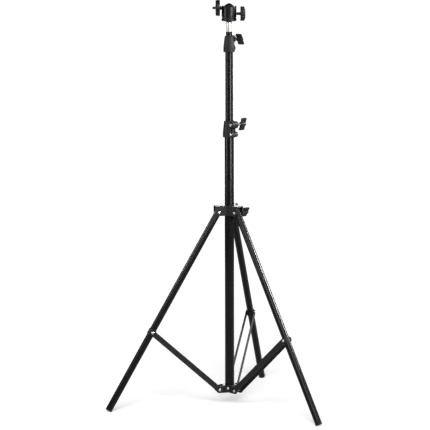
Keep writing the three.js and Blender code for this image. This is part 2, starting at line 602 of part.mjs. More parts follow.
function footCap() {
  const plug = LEG_RADIUS - LEG_WALL - SEAT_GAP;
  const lip = FOOT_CAP_THICK - LEG_LENGTH;
  return turned([
    [0, -LEG_LENGTH], [LEG_RADIUS - FOOT_CAP_EDGE, -LEG_LENGTH], [LEG_RADIUS, FOOT_CAP_EDGE - LEG_LENGTH],
    [LEG_RADIUS, lip], [plug, lip], [plug, lip + FOOT_PLUG_DEPTH - 1], [plug - 1, lip + FOOT_PLUG_DEPTH],
    [0, lip + FOOT_PLUG_DEPTH],
  ], LEG_SIDES);
}

function legSaddle() {
  const half = SADDLE_LENGTH / 2;
  const outer = LEG_RADIUS + SEAT_GAP + SADDLE_WALL;
  const sleeve = turned([
    [LEG_RADIUS + SEAT_GAP, -half], [outer - 0.5, -half], [outer, 0.5 - half],
    [outer, half - 0.5], [outer - 0.5, half], [LEG_RADIUS + SEAT_GAP, half],
  ], LEG_SIDES);
  const between = block([-2 * outer, -SADDLE_FLAT, -half - 1], [2 * outer, SADDLE_FLAT, half + 1]);
  return moved(sleeve.intersect(between), 0, 0, -BRACE_POINT);
}

function leg(side) {
  const parts = group([
    mesh(`leg_tube_${side}`, legTube(), 'blackTube'),
    mesh(`foot_cap_${side}`, footCap(), 'rubber'),
    mesh(`leg_saddle_${side}`, legSaddle(), 'blackPlastic'),
  ], [LEG_HINGE_RADIUS, 0, COLLAR_Z]);
  parts.rotation.y = -LEG_SPREAD;
  return parts;
}

// A flat bar with round ends. It stands on its hub pin at the origin, inner face on y = 0.
function braceBar() {
  const half = BRACE_WIDTH / 2;
  const outline = new THREE.Shape();
  outline.absarc(0, 0, half, PI, 2 * PI, false);
  outline.absarc(0, BRACE_LENGTH, half, 0, PI, false);
  outline.closePath();
  const bar = slab(outline, BRACE_THICK, BRACE_THICK / 2, 2 * CURVE_STEPS);
  const hubHole = rod(PIN_RADIUS + RUNNING_GAP, -1, BRACE_THICK + 1, SCREW_SIDES, 'y');
  const legHole = rod(LEG_RIVET_RADIUS + SEAT_GAP, -1, BRACE_THICK + 1, SCREW_SIDES, 'y');
  return cut(bar, hubHole, moved(legHole, 0, 0, BRACE_LENGTH));
}

function braceRivet() {
  const shank = BRACE_THICK + SEAT_GAP;
  return moved(headedRivet(LEG_RIVET_RADIUS, shank), 0, shank, BRACE_LENGTH);
}

function brace(side) {
  const halves = { a: 1, b: -1 };
  const bars = Object.entries(halves).map(([letter, hand]) => {
    const shape = (made) => (hand > 0 ? made : made.mirror([0, 1, 0]));
    const holder = group([
      mesh(`brace_bar_${side}_${letter}`, shape(braceBar()), 'blackSteel'),
      mesh(`brace_rivet_${side}_${letter}`, shape(braceRivet()), 'steel'),
    ], [0, hand * BRACE_AT_HUB, 0]);
    holder.rotation.x = hand * BRACE_SPLAY;
    return holder;
  });
  const parts = group(bars, [HUB_PIN_RADIUS, 0, HUB_PIN_HEIGHT]);
  parts.rotation.y = BRACE_ANGLE;
  return parts;
}

function legsAndBraces() {
  return Object.entries(LEG_AZIMUTHS).map(([side, azimuth]) => spoke(azimuth, [leg(side), brace(side)]));
}

function hubParts() {
  const pins = Object.entries(LEG_AZIMUTHS).map(([side, azimuth]) => {
    const pin = mesh(`hub_pin_${side}`, hubPin(), 'steel');
    pin.position.x = HUB_PIN_RADIUS;
    return spoke(azimuth, [pin]);
  });
  const screw = spoke(HUB_SCREW_AZIMUTH, [mesh('hub_screw', hubScrew(), 'steel')], HUB_SCREW_RISE);
  return group([mesh('lower_hub', lowerHub(), 'blackPlastic'), ...pins, screw], [0, 0, HUB_PIN_HEIGHT]);
}

// ---- mast sections ---------------------------------------------------------------------------------

function mastTube1() {
  const foot = MAST_FOOT_Z + SEAT_GAP;
  const shell = tube(MAST_1_RADIUS, MAST_1_RADIUS - MAST_WALL, foot, MAST_1_TOP, TUBE_SIDES);
  const hole = rod(HUB_SCREW_RADIUS + SEAT_GAP, MAST_1_RADIUS - 3, MAST_1_RADIUS + 2, SCREW_SIDES, 'x');
  return cut(shell, moved(hole, 0, 0, HUB_PIN_HEIGHT + HUB_SCREW_RISE).rotate([0, 0, HUB_SCREW_AZIMUTH]));
}

// Guide bush on the lower end of an inner tube: a flange that runs in the outer tube and a hollow plug.
function endBush(outerBore, innerBore, z) {
  const flange = outerBore - RUNNING_GAP / 2;
  const plug = innerBore - SEAT_GAP;
  const end = END_BUSH_FLANGE + END_BUSH_PLUG;
  const wall = 2;
  return moved(turned([
    [plug - wall, 0], [flange - 0.5, 0], [flange, 0.5], [flange, END_BUSH_FLANGE],
    [plug, END_BUSH_FLANGE], [plug, end], [plug - wall, end],
  ], TUBE_SIDES), 0, 0, z);
}

function mastParts() {
  const bore1 = MAST_1_RADIUS - MAST_WALL;
  const bore2 = MAST_2_RADIUS - MAST_WALL;
  const bore3 = MAST_3_RADIUS - MAST_3_WALL;
  const from2 = MAST_2_FOOT_Z + END_BUSH_FLANGE + SEAT_GAP;
  const from3 = MAST_3_FOOT_Z + END_BUSH_FLANGE + SEAT_GAP;
  return group([
    mesh('mast_tube_1', mastTube1(), 'blackTube'),
    mesh('mast_tube_2', tube(MAST_2_RADIUS, bore2, from2, MAST_2_TOP, TUBE_SIDES), 'blackTube'),
    mesh('mast_2_end_bush', endBush(bore1, bore2, MAST_2_FOOT_Z), 'greyPlastic'),
    mesh('mast_tube_3', tube(MAST_3_RADIUS, bore3, from3, MAST_3_TOP, TUBE_SIDES), 'blackTube'),
    mesh('mast_3_end_bush', endBush(bore2, bore3, MAST_3_FOOT_Z), 'greyPlastic'),
    clamp('lock_1', LOCK_1, LOCK_1_Z),
    clamp('lock_2', LOCK_2, LOCK_2_Z),
    mesh('spigot', spigot(bore3), 'nickel'),
  ]);
}

// Plugged into the third section, with a grooved neck and the stud that carries the ball head.
function spigot(bore) {
  const plug = bore - SEAT_GAP;
  const seat = MAST_3_TOP + SEAT_GAP;
  const top = MAST_3_TOP + SPIGOT_LENGTH - SEAT_GAP;
  const stud = top + SPIGOT_STUD;
  return turned([
    [0, seat - SPIGOT_PLUG], [plug - 0.8, seat - SPIGOT_PLUG], [plug, seat - SPIGOT_PLUG + 0.8], [plug, seat],
    [SPIGOT_RADIUS, seat], [SPIGOT_RADIUS, seat + 3.2], [SPIGOT_NECK, seat + 4], [SPIGOT_NECK, seat + 6.4],
    [SPIGOT_RADIUS, seat + 7.2], [SPIGOT_RADIUS, top - 0.8], [SPIGOT_RADIUS - 0.8, top],
    [STUD_RADIUS, top], [STUD_RADIUS, stud - 0.6], [STUD_RADIUS - 0.6, stud], [0, stud],
  ], TUBE_SIDES);
}

// ---- ball head, heights above its underside --------------------------------------------------------

// Base that screws up into the housing; the groove between them shows as a dark line.
function headBase() {
  const edge = 0.8;
  const neck = HEAD_RADIUS - HEAD_GROOVE_DEPTH;
  const body = turned([
    [0, 0], [HEAD_BOSS_RADIUS, 0], [HEAD_BOSS_RADIUS, HEAD_BOSS_HEIGHT],
    [HEAD_RADIUS - edge, HEAD_BOSS_HEIGHT], [HEAD_RADIUS, HEAD_BOSS_HEIGHT + edge],
    [HEAD_RADIUS, RING_Z - edge / 2], [HEAD_RADIUS - edge / 2, RING_Z],
    [neck, RING_Z], [neck, HOUSING_Z - SEAT_GAP], [HEAD_THREAD_RADIUS, HOUSING_Z - SEAT_GAP],
    [HEAD_THREAD_RADIUS, HOUSING_Z + HEAD_THREAD_HEIGHT], [0, HOUSING_Z + HEAD_THREAD_HEIGHT],
  ], TUBE_SIDES);
  return cut(body, rod(STUD_RADIUS + SEAT_GAP, -1, SPIGOT_STUD + RUNNING_GAP, TUBE_SIDES));
}

// Socket with a spherical seat, open at the top, with a drop notch towards -X and a screw hole to +X.
function headHousing() {
  const seat = BALL_RADIUS + RUNNING_GAP / 2;
  const bore = HEAD_THREAD_RADIUS + SEAT_GAP;
  const rimAngle = asin(BALL_SINK / seat);
  const shell = turned([
    [bore, HOUSING_Z], [HEAD_RADIUS - 0.5, HOUSING_Z], [HEAD_RADIUS, HOUSING_Z + 0.5],
    ...arc([HEAD_RADIUS - HOUSING_EDGE, HOUSING_TOP_Z - HOUSING_EDGE], HOUSING_EDGE, 0, PI / 2, CURVE_STEPS),
    ...arc([0, BALL_Z], seat, rimAngle, 0, SEAT_STEPS),
    [seat, BALL_Z - SEAT_DROP], [bore, BALL_Z - SEAT_DROP],
  ], TUBE_SIDES);
  const notchRadius = STEM_RADIUS + 2 * RUNNING_GAP;
  const round = moved(rod(notchRadius, -HEAD_RADIUS - 2, -BALL_RADIUS / 2, SCREW_SIDES, 'x'), 0, 0, BALL_Z);
  const open = block([-HEAD_RADIUS - 2, -notchRadius, BALL_Z],
    [-BALL_RADIUS / 2, notchRadius, HOUSING_TOP_Z + 2]);
  const holeRadius = HEAD_SCREW_RADIUS + RUNNING_GAP;
  const hole = rod(holeRadius, HEAD_THREAD_RADIUS - 2, HEAD_RADIUS + 2, SCREW_SIDES, 'x');
  return cut(shell, round, open, moved(hole, 0, 0, HEAD_KNOB_Z));
}

// Cup under the ball that the lock screw presses up.
function ballSeat() {
  const foot = HOUSING_Z + HEAD_THREAD_HEIGHT + RUNNING_GAP;
  const top = BALL_Z - SEAT_DROP - RUNNING_GAP;
  const outer = HEAD_THREAD_RADIUS - RUNNING_GAP / 2;
  const cup = rod(outer, foot, top, TUBE_SIDES);
  const ballHollow = moved(ball(BALL_RADIUS + RUNNING_GAP), 0, 0, BALL_Z);
  const socket = rod(HEAD_SCREW_RADIUS + RUNNING_GAP, outer - 5, outer + 2, SCREW_SIDES, 'x');
  return cut(cup, ballHollow, moved(socket, 0, 0, HEAD_KNOB_Z));
}

function ball(radius) {
  const geometry = new THREE.SphereGeometry(radius, TUBE_SIDES, TUBE_SIDES / 2);
  return solid(geometry.rotateX(PI / 2));
}

// Ball with its stem lying in the notch, around the ball's centre.
function ballStem() {
  const end = PLATFORM_OFFSET + STEM_SEAT - RUNNING_GAP;
  const stem = turned([
    [0, -end], [STEM_RADIUS, -end], [STEM_RADIUS, -PLATFORM_OFFSET],
    [STEM_FLANGE_RADIUS, -PLATFORM_OFFSET], [STEM_FLANGE_RADIUS, STEM_FLANGE - PLATFORM_OFFSET],
    [STEM_RADIUS, 2 * STEM_FLANGE - PLATFORM_OFFSET], [STEM_RADIUS, 0], [0, 0],
  ], SCREW_SIDES, 'x');
  return union(ball(BALL_RADIUS), stem);
}

// Round platform on the stem, around the ball's centre, facing -X.
function cameraPlatform() {
  const back = PLATFORM_OFFSET + RUNNING_GAP;
  const front = PLATFORM_OFFSET + PLATFORM_THICK;
  const edge = 1.2;
  const body = turned([
    [0, -front], [PLATFORM_RADIUS - 0.4, -front], [PLATFORM_RADIUS, 0.4 - front],
    [PLATFORM_RADIUS, -back - edge], [PLATFORM_RADIUS - edge, -back], [0, -back],
  ], TUBE_SIDES, 'x');
  const seat = -PLATFORM_OFFSET - STEM_SEAT;
  const stemBore = rod(STEM_RADIUS + RUNNING_GAP / 2, seat, 0, SCREW_SIDES, 'x');
  const studBore = rod(STUD_RADIUS + SEAT_GAP, -front - 1, seat + 0.5, SCREW_SIDES, 'x');
  return cut(body, stemBore, studBore);
}

function platformPad() {
  const front = PLATFORM_OFFSET + PLATFORM_THICK + PAD_THICK;
  const back = PLATFORM_OFFSET + PLATFORM_THICK + SEAT_GAP;
  const outer = PLATFORM_RADIUS - 0.6;
  const inner = STUD_RADIUS + SEAT_GAP;
  return turned([
    [inner, -front], [outer - 0.8, -front], [outer, 0.8 - front], [outer, -back], [inner, -back],
  ], TUBE_SIDES, 'x');
}

function cameraStud() {
  const tip = PLATFORM_OFFSET + PLATFORM_THICK + PAD_THICK + CAMERA_STUD_LENGTH;
  const root = PLATFORM_OFFSET + STEM_SEAT + RUNNING_GAP;
  return turned([
    [0, -tip], [STUD_RADIUS - 0.7, -tip], [STUD_RADIUS, 0.7 - tip], [STUD_RADIUS, -root], [0, -root],
  ], SCREW_SIDES, 'x');
}

// Lock knob: a fluted disc with a neck and a domed face, on the +X axis.
function headKnob() {
  const start = HEAD_KNOB_START;
  const neck = HEAD_RADIUS + 2 * RUNNING_GAP;
  const rim = start + HEAD_KNOB_RIM;
  const disc = turned([
    [0, neck], [HEAD_KNOB_NECK, neck], [HEAD_KNOB_NECK, start - BEVEL], [HEAD_KNOB_NECK + BEVEL, start],
    [HEAD_KNOB_RADIUS - 1.2, start], [HEAD_KNOB_RADIUS, start + 1.2], [HEAD_KNOB_RADIUS, rim - 1.2],
    [HEAD_KNOB_RADIUS - 1.2, rim], [HEAD_KNOB_RADIUS * 0.6, rim + HEAD_KNOB_DOME * 0.7],
    [0, rim + HEAD_KNOB_DOME],
  ], 2 * HEAD_KNOB_FLUTES, 'x');
  const flutes = [];
  for (let i = 0; i < HEAD_KNOB_FLUTES; i += 1) {
    const flute = rod(FLUTE_RADIUS, start - 1, rim + 1, FLUTE_SIDES, 'x');
    flutes.push(moved(flute, 0, 0, HEAD_KNOB_RADIUS + 0.4).rotate([(360 * i) / HEAD_KNOB_FLUTES, 0, 0]));
  }
  const bore = rod(HEAD_SCREW_RADIUS + SEAT_GAP, neck - 1, start + HEAD_KNOB_RIM / 2, SCREW_SIDES, 'x');
  return cut(disc, bore, ...flutes);
}

function headScrew() {
  const tip = HEAD_THREAD_RADIUS - RUNNING_GAP / 2 - 5 + RUNNING_GAP;
  const end = HEAD_KNOB_START + HEAD_KNOB_RIM / 2 - RUNNING_GAP;
  return turned([
    [0, tip], [HEAD_SCREW_RADIUS - 1, tip], [HEAD_SCREW_RADIUS, tip + 1], [HEAD_SCREW_RADIUS, end], [0, end],
  ], SCREW_SIDES, 'x');
}

function ballHead() {
  const knob = group([
    mesh('head_knob', headKnob(), 'blackPlastic'),
    mesh('head_screw', headScrew(), 'steel'),
  ], [0, 0, HEAD_KNOB_Z]);
  const swivel = group([
    mesh('ball_stem', ballStem(), 'blackAluminium'),
    mesh('camera_platform', cameraPlatform(), 'blackAluminium'),
    mesh('platform_pad', platformPad(), 'rubber'),
    mesh('camera_stud', cameraStud(), 'blackSteel'),
  ], [0, 0, BALL_Z]);
  return group([
    mesh('head_base', headBase(), 'blackAluminium'),
    mesh('head_housing', headHousing(), 'blackAluminium'),
    mesh('ball_seat', ballSeat(), 'greyPlastic'),
    knob,
    swivel,
  ], [0, 0, HEAD_Z]);
}

// ---- the stand -------------------------------------------------------------------------------------

const stand = group([hubParts(), ...legsAndBraces(), collarParts(), mastParts(), ballHead()]);
stand.updateMatrixWorld(true);
const bounds = new THREE.Box3().setFromObject(stand, true);
const middle = bounds.getCenter(new THREE.Vector3());
stand.position.set(-middle.x, -middle.y, -bounds.min.z);

export default group([stand]);
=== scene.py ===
"""Finished look of a folding light stand with a ball head, built around its CAD frame.

Every piece is drawn in millimetres in its own local frame, whose Z is the axis that the real piece was
turned, drawn or screwed on, and is put in place in metres.
"""

import json
import math
from collections import namedtuple

import bmesh
import bpy
from bpy.props import FloatProperty, FloatVectorProperty, IntProperty, PointerProperty
from mathutils import Matrix, Vector


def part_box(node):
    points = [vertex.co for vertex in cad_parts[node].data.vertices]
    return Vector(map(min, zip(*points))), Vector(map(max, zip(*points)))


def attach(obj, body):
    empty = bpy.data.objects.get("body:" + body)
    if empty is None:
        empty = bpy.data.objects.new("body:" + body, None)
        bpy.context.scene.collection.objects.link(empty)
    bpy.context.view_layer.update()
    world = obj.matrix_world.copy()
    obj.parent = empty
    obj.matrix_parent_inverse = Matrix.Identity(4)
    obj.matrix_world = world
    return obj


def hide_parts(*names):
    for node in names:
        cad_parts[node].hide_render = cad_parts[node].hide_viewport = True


bl_info = {
    "name": "Folding Light Stand",
    "version": (1, 0, 0),
    "blender": (4, 5, 0),
    "location": "3D View > Sidebar > Light Stand",
    "description": "Finished pieces, materials and a studio for a folding light stand with a ball head",
    "category": "Object",
}

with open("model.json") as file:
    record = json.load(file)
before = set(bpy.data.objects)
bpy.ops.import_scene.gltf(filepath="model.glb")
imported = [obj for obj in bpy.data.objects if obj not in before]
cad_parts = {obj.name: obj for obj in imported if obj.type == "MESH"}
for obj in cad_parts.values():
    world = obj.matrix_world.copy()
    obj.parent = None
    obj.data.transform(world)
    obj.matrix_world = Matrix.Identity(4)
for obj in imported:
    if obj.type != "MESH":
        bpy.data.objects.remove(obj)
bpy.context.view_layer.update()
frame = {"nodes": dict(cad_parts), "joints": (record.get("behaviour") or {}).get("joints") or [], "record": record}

MM = 0.001
FULL_TURN = 2 * math.pi
UP = Vector((0, 0, 1))
SIDES = ("rear", "left", "right")
JOINTS = {joint["name"]: joint for joint in frame["joints"]}
SHARP = math.radians(32)  # an edge that turns more than this is a real edge, not part of a curve
FIT = 0.1  # gap in millimetres between pieces that are fixed to each other
DEBURR = 0.35  # rounding in millimetres of a cut tube end
PATCH = 18  # size in millimetres of the marks that fingertips leave


# ---- sizes and colours that a user would change ----


def linear(hex_colour):
    """An sRGB hex colour as linear red, green and blue."""
    channels = ((hex_colour >> shift & 255) / 255 for shift in (16, 8, 0))
    return tuple(c / 12.92 if c <= 0.04045 else ((c + 0.055) / 1.055) ** 2.4 for c in channels)


def length(name, description, millimetres):
    return FloatProperty(
        name=name, description=description, default=millimetres * MM, min=0, unit="LENGTH", precision=5
    )


def colour(name, description, hex_colour):
    return FloatVectorProperty(
        name=name, description=description, default=linear(hex_colour), subtype="COLOR", min=0, max=1
    )


class StandSizes(bpy.types.PropertyGroup):
    """Sizes of the finish that the CAD frame leaves open, in metres."""

    tube_wall: length("Tube wall", "Wall of the mast and leg tubes", 1.2)
    brace_width: length("Brace width", "Width of a flat brace bar", 13)
    brace_thickness: length("Brace thickness", "Sheet that the brace bars are pressed from", 1.5)
    rivet_head: length("Rivet head", "Radius of the rivet heads", 3.3)
    rivet_crown: length("Rivet crown", "Height of the rivet heads", 1.6)
    mould_edge: length("Moulded edge", "Rounding of the moulded edges", 0.45)
    metal_edge: length("Metal edge", "Rounding of the metal edges", 0.2)
    screw_pitch: length("Screw pitch", "Pitch of the thumb screws", 0.8)
    stud_pitch: length("Stud pitch", "Pitch of the camera stud", 1.27)
    wing_span: length("Wing span", "Wing knob from tip to tip", 32)
    wing_thickness: length("Wing thickness", "Wing knob through a wing", 5.4)
    knob_flutes: IntProperty(name="Knob flutes", description="Flutes round it", default=20, min=6)


class StandColours(bpy.types.PropertyGroup):
    """Base colours of the materials."""

    tube: colour("Tube", "Anodised tube", 0x070708)
    brace: colour("Brace", "Powder coat of the brace bars", 0x0C0C0D)
    moulded: colour("Moulded", "Nylon mouldings", 0x0A0A0B)
    head: colour("Head", "Anodised head", 0x080809)
    rubber: colour("Rubber", "Rubber caps and pad", 0x0B0B0B)
    steel: colour("Steel", "Zinc plated steel", 0x8E8F92)
    blackened: colour("Blackened", "Black oxide steel", 0x141415)
    nickel: colour("Nickel", "Nickel plate of the spigot", 0x8A8884)
    acetal: colour("Acetal", "Bushes inside the mast", 0x7C7E81)
    floor: colour("Floor", "Pale studio floor", 0xF4F4F4)


# ---- places from the frame ----


def middle(node):
    low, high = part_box(node)
    return (low + high) / 2


def height_range(node):
    """Lowest and highest point of a CAD node in millimetres."""
    low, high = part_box(node)
    return low.z / MM, high.z / MM


MAST_AXIS = Vector((middle("mast_tube_1").x, middle("mast_tube_1").y, 0))


def axes_frame(origin, x_axis, z_axis):
    """Local frame with its Z along z_axis and its X as near x_axis as that allows."""
    z = Vector(z_axis).normalized()
    y = z.cross(Vector(x_axis)).normalized()
    x = y.cross(z)
    matrix = Matrix((x, y, z)).transposed().to_4x4()
    matrix.translation = origin
    return matrix


def mast_frame(height, azimuth=0.0):
    """Frame on the mast axis, height in millimetres, X turned to the azimuth in degrees."""
    origin = MAST_AXIS + UP * height * MM
    return Matrix.Translation(origin) @ Matrix.Rotation(math.radians(azimuth), 4, "Z")


def hinge_frame(joint_name, flip=False):
    """Frame in a hinge pin of a leg or brace: X points away from the mast, Y along the pin, Z up."""
    joint = JOINTS[joint_name]
    pin = -Vector(joint["axis"]) if flip else Vector(joint["axis"])
    return axes_frame(Vector(joint["pos_m"]), pin.cross(UP), UP)


def leg_frame(side):
    """Frame in the leg's hinge pin with Z up along the open leg."""
    spread = math.radians(JOINTS[f"leg_hinge_{side}"]["range_deg"][1])
    return hinge_frame(f"leg_hinge_{side}") @ Matrix.Rotation(-spread, 4, "Y")


def brace_frame(side):
    """Frame in the brace's hub pin with Z up along the open brace."""
    lean = math.radians(JOINTS[f"brace_hinge_{side}"]["range_deg"][1])
    return hinge_frame(f"brace_hinge_{side}", flip=True) @ Matrix.Rotation(lean, 4, "Y")


# ---- mesh code, all in millimetres ----


def skin(bm, low, high):
    """Faces between two rings of vertices, either of which may be a single point."""
    count = max(len(low), len(high))
    for i in range(count):
        j = (i + 1) % count
        corners = [low[i % len(low)], low[j % len(low)], high[j % len(high)], high[i % len(high)]]
        unique = list(dict.fromkeys(corners))
        if len(unique) > 2:
            bm.faces.new(unique)


def turned(outline, sides=64, radius_at=None, height_at=None):
    """Solid of revolution about Z. The (radius, height) outline runs outward at the bottom and inward at
    the top; one that misses the axis closes on itself."""
    bm = bmesh.new()
    rings = []
    for radius, height in outline:
        ring = []
        for i in range(sides if radius > 0 else 1):
            angle = FULL_TURN * i / sides
            r = radius_at(radius, angle, height) if radius_at else radius
            z = height_at(height, angle) if height_at else height
            ring.append(bm.verts.new((r * math.cos(angle), r * math.sin(angle), z)))
        rings.append(ring)
    uppers = rings[1:] + ([rings[0]] if outline[0][0] > 0 else [])
    for low, high in zip(rings, uppers):
        skin(bm, low, high)
    bmesh.ops.recalc_face_normals(bm, faces=bm.faces)
    return bm


def rounded(outline, radius, steps=3):
    """The outline with each corner off the axis turned into a small arc."""
    closed = outline[0][0] > 0
    result = []
    for i, (r, z) in enumerate(outline):
        corner = Vector((r, z))
        if not closed and i in (0, len(outline) - 1):
            result.append((r, z))
            continue
        before = Vector(outline[i - 1]) - corner
        after = Vector(outline[(i + 1) % len(outline)]) - corner
        cut = min(radius, 0.45 * before.length, 0.45 * after.length)
        start, end = corner + before.normalized() * cut, corner + after.normalized() * cut
        for step in range(steps + 1):
            t = step / steps
            point = start * (1 - t) ** 2 + corner * 2 * t * (1 - t) + end * t**2
            result.append((max(point.x, 0.001), point.y))
    return result


def lathe(outline, edge, steps=3, sides=64):
    """Solid of revolution whose corners are rounded."""
    return turned(rounded(outline, edge, steps), sides)


def drawn_tube(outer, wall, low, high):
    """Tube with its cut ends deburred."""
    return lathe([(outer - wall, low), (outer, low), (outer, high), (outer - wall, high)], DEBURR)


def rod(radius, start, end, sides=48):
    return turned([(0, start), (radius, start), (radius, end), (0, end)], sides)


def plate(points, start, end):
    """Prism over a closed (x, z) outline, from start to end along Y."""
    bm = bmesh.new()
    near, far = ([bm.verts.new((x, y, z)) for x, z in points] for y in (start, end))
    bm.faces.new(near)
    bm.faces.new(far)
    skin(bm, near, far)
    bmesh.ops.recalc_face_normals(bm, faces=bm.faces)
    return bm


def block(low, high):
    (x0, y0, z0), (x1, y1, z1) = low, high
    return plate([(x0, z0), (x1, z0), (x1, z1), (x0, z1)], y0, y1)


def arc(centre, radius, start, end, steps=16):
    """Points of an arc in degrees."""
    angles = [math.radians(start + (end - start) * i / steps) for i in range(steps + 1)]
    return [(centre[0] + radius * math.cos(a), centre[1] + radius * math.sin(a)) for a in angles]


def moved(bm, matrix):
    bmesh.ops.transform(bm, matrix=matrix, verts=bm.verts)
    if matrix.determinant() < 0:
        bmesh.ops.reverse_faces(bm, faces=bm.faces)
    return bm


def shift(x, y, z):
    return Matrix.Translation((x, y, z))


def lying(axis):
    """Turns a piece's Z axis to the X or Y axis."""
    if axis == "X":
        return Matrix.Rotation(math.pi / 2, 4, "Y")
    return Matrix.Rotation(-math.pi / 2, 4, "X")


def temporary(bm):
    mesh = bpy.data.meshes.new("tool")
    bm.to_mesh(mesh)
    bm.free()
    tool = bpy.data.objects.new("tool", mesh)
    bpy.context.scene.collection.objects.link(tool)
    return tool


def combined(base, *steps):
    """Base after booleans in order, each step an operation with its tool."""
    body = temporary(base)
    tools = []
    for operation, tool_mesh in steps:
        tool = temporary(tool_mesh)
        modifier = body.modifiers.new(operation, "BOOLEAN")
        modifier.operation = operation
        modifier.solver = "EXACT"
        modifier.object = tool
        tools.append(tool)
    graph = bpy.context.evaluated_depsgraph_get()
    result = bmesh.new()
    result.from_object(body, graph)
    for used in (body, *tools):
        bpy.data.meshes.remove(used.data)
    bmesh.ops.remove_doubles(result, verts=result.verts, dist=0.002)
    bmesh.ops.dissolve_limit(result, angle_limit=0.01, verts=result.verts, edges=result.edges)
    return result


def united(base, *others):
    return combined(base, *[("UNION", other) for other in others])


def carved(base, *tools):
    return combined(base, *[("DIFFERENCE", tool) for tool in tools])


def threaded(radius, start, end, pitch, depth, sides=32):
    """Rod with a screw thread and bevelled ends."""
    rows = int((end - start) / pitch * 4) + 8
    crest = [(radius - depth * (0, 0.5, 1, 0.5)[i % 4], start - pitch + i * pitch / 4) for i in range(rows)]
    outline = [(0, start), *crest, (0, end)]

    def height_at(height, angle):
        return min(max(height + pitch * angle / FULL_TURN, start), end)

    def radius_at(r, angle, height):
        level = height + pitch * angle / FULL_TURN
        inside = min(max(level - start, 0), max(end - level, 0))
        return min(r, radius - depth + inside)

    return turned(outline, sides, radius_at, height_at)


def rivet_head(radius, crown, face):
    """Outline of a domed rivet head with the dimple its punch leaves, standing on face."""
    return [
        (radius * 0.97, face), (radius, face + crown * 0.2), (radius * 0.93, face + crown * 0.5),
        (radius * 0.74, face + crown * 0.82), (radius * 0.45, face + crown),
        (radius * 0.3, face + crown * 0.92), (radius * 0.2, face + crown * 0.7), (0, face + crown * 0.66),
    ]


def hexagon_radius(across):
    """Limits a turned outline to a hexagon, which leaves chamfered corners."""

    def radius_at(r, angle, _height):
        sector = (angle + math.pi / 6) % (math.pi / 3) - math.pi / 6
        return min(r, across / 2 / math.cos(sector))

    return radius_at


# ---- materials ----


def add_node(tree, kind, settings=None, links=None):
    """Adds a node: settings set its fields or, for names it has as inputs, their values; links join
    inputs to other nodes' outputs."""
    node = tree.nodes.new(kind)
    for name, value in (settings or {}).items():
        if name in node.inputs:
            node.inputs[name].default_value = value
        else:
            setattr(node, name, value)
    for name, output in (links or {}).items():
        tree.links.new(output, node.inputs[name])
    return node


def pattern_scale(real_mm):
    """Noise scale for a pattern whose features repeat at a real size in millimetres."""
    return 1 / (real_mm * MM)


def blank_material(name):
    material = bpy.data.materials.new(name)
    material.use_nodes = True
    tree = material.node_tree
    tree.nodes.clear()
    output = add_node(tree, "ShaderNodeOutputMaterial")
    return material, tree, output


def finish_material(name, base, lift, grain, stretch, bump, roughness, settings):
    """Surface whose grain, stretched along the piece's own axes, drives colour, roughness and bump.

    lift is how far towards white the grain takes the base colour, grain its size in millimetres, bump
    its strength and height in millimetres, and roughness the range that it covers."""
    material, tree, output = blank_material(name)
    place = add_node(tree, "ShaderNodeTexCoord")
    stretched = add_node(tree, "ShaderNodeMapping", {"Scale": stretch}, {"Vector": place.outputs["Object"]})
    fine = add_node(tree, "ShaderNodeTexNoise",
                    {"Scale": pattern_scale(grain), "Detail": 3.0, "Roughness": 0.6},
                    {"Vector": stretched.outputs["Vector"]})
    # Handling marks and uneven coating, in patches the size of a fingertip.
    patches = add_node(tree, "ShaderNodeTexNoise",
                       {"Scale": pattern_scale(PATCH), "Detail": 2.0, "Roughness": 0.5},
                       {"Vector": place.outputs["Object"]})
    mixed = add_node(tree, "ShaderNodeMath", {"operation": "MULTIPLY"})
    tree.links.new(fine.outputs["Fac"], mixed.inputs[0])
    tree.links.new(patches.outputs["Fac"], mixed.inputs[1])
    colours = add_node(tree, "ShaderNodeValToRGB", None, {"Fac": mixed.outputs["Value"]})
    colours.color_ramp.elements[0].position = 0.12
    colours.color_ramp.elements[0].color = (*base, 1)
    colours.color_ramp.elements[1].position = 0.5
    colours.color_ramp.elements[1].color = (*(c + (1 - c) * lift for c in base), 1)
    rough = add_node(tree, "ShaderNodeMapRange",
                     {"From Min": 0.3, "From Max": 0.7, "To Min": roughness[0], "To Max": roughness[1]},
                     {"Value": patches.outputs["Fac"]})
    relief = add_node(tree, "ShaderNodeBump", {"Strength": bump[0], "Distance": bump[1] * MM},
                      {"Height": fine.outputs["Fac"]})
    shader = add_node(tree, "ShaderNodeBsdfPrincipled", settings, {
        "Base Color": colours.outputs["Color"],
        "Roughness": rough.outputs["Result"],
        "Normal": relief.outputs["Normal"],
    })
    tree.links.new(shader.outputs["BSDF"], output.inputs["Surface"])
    return material


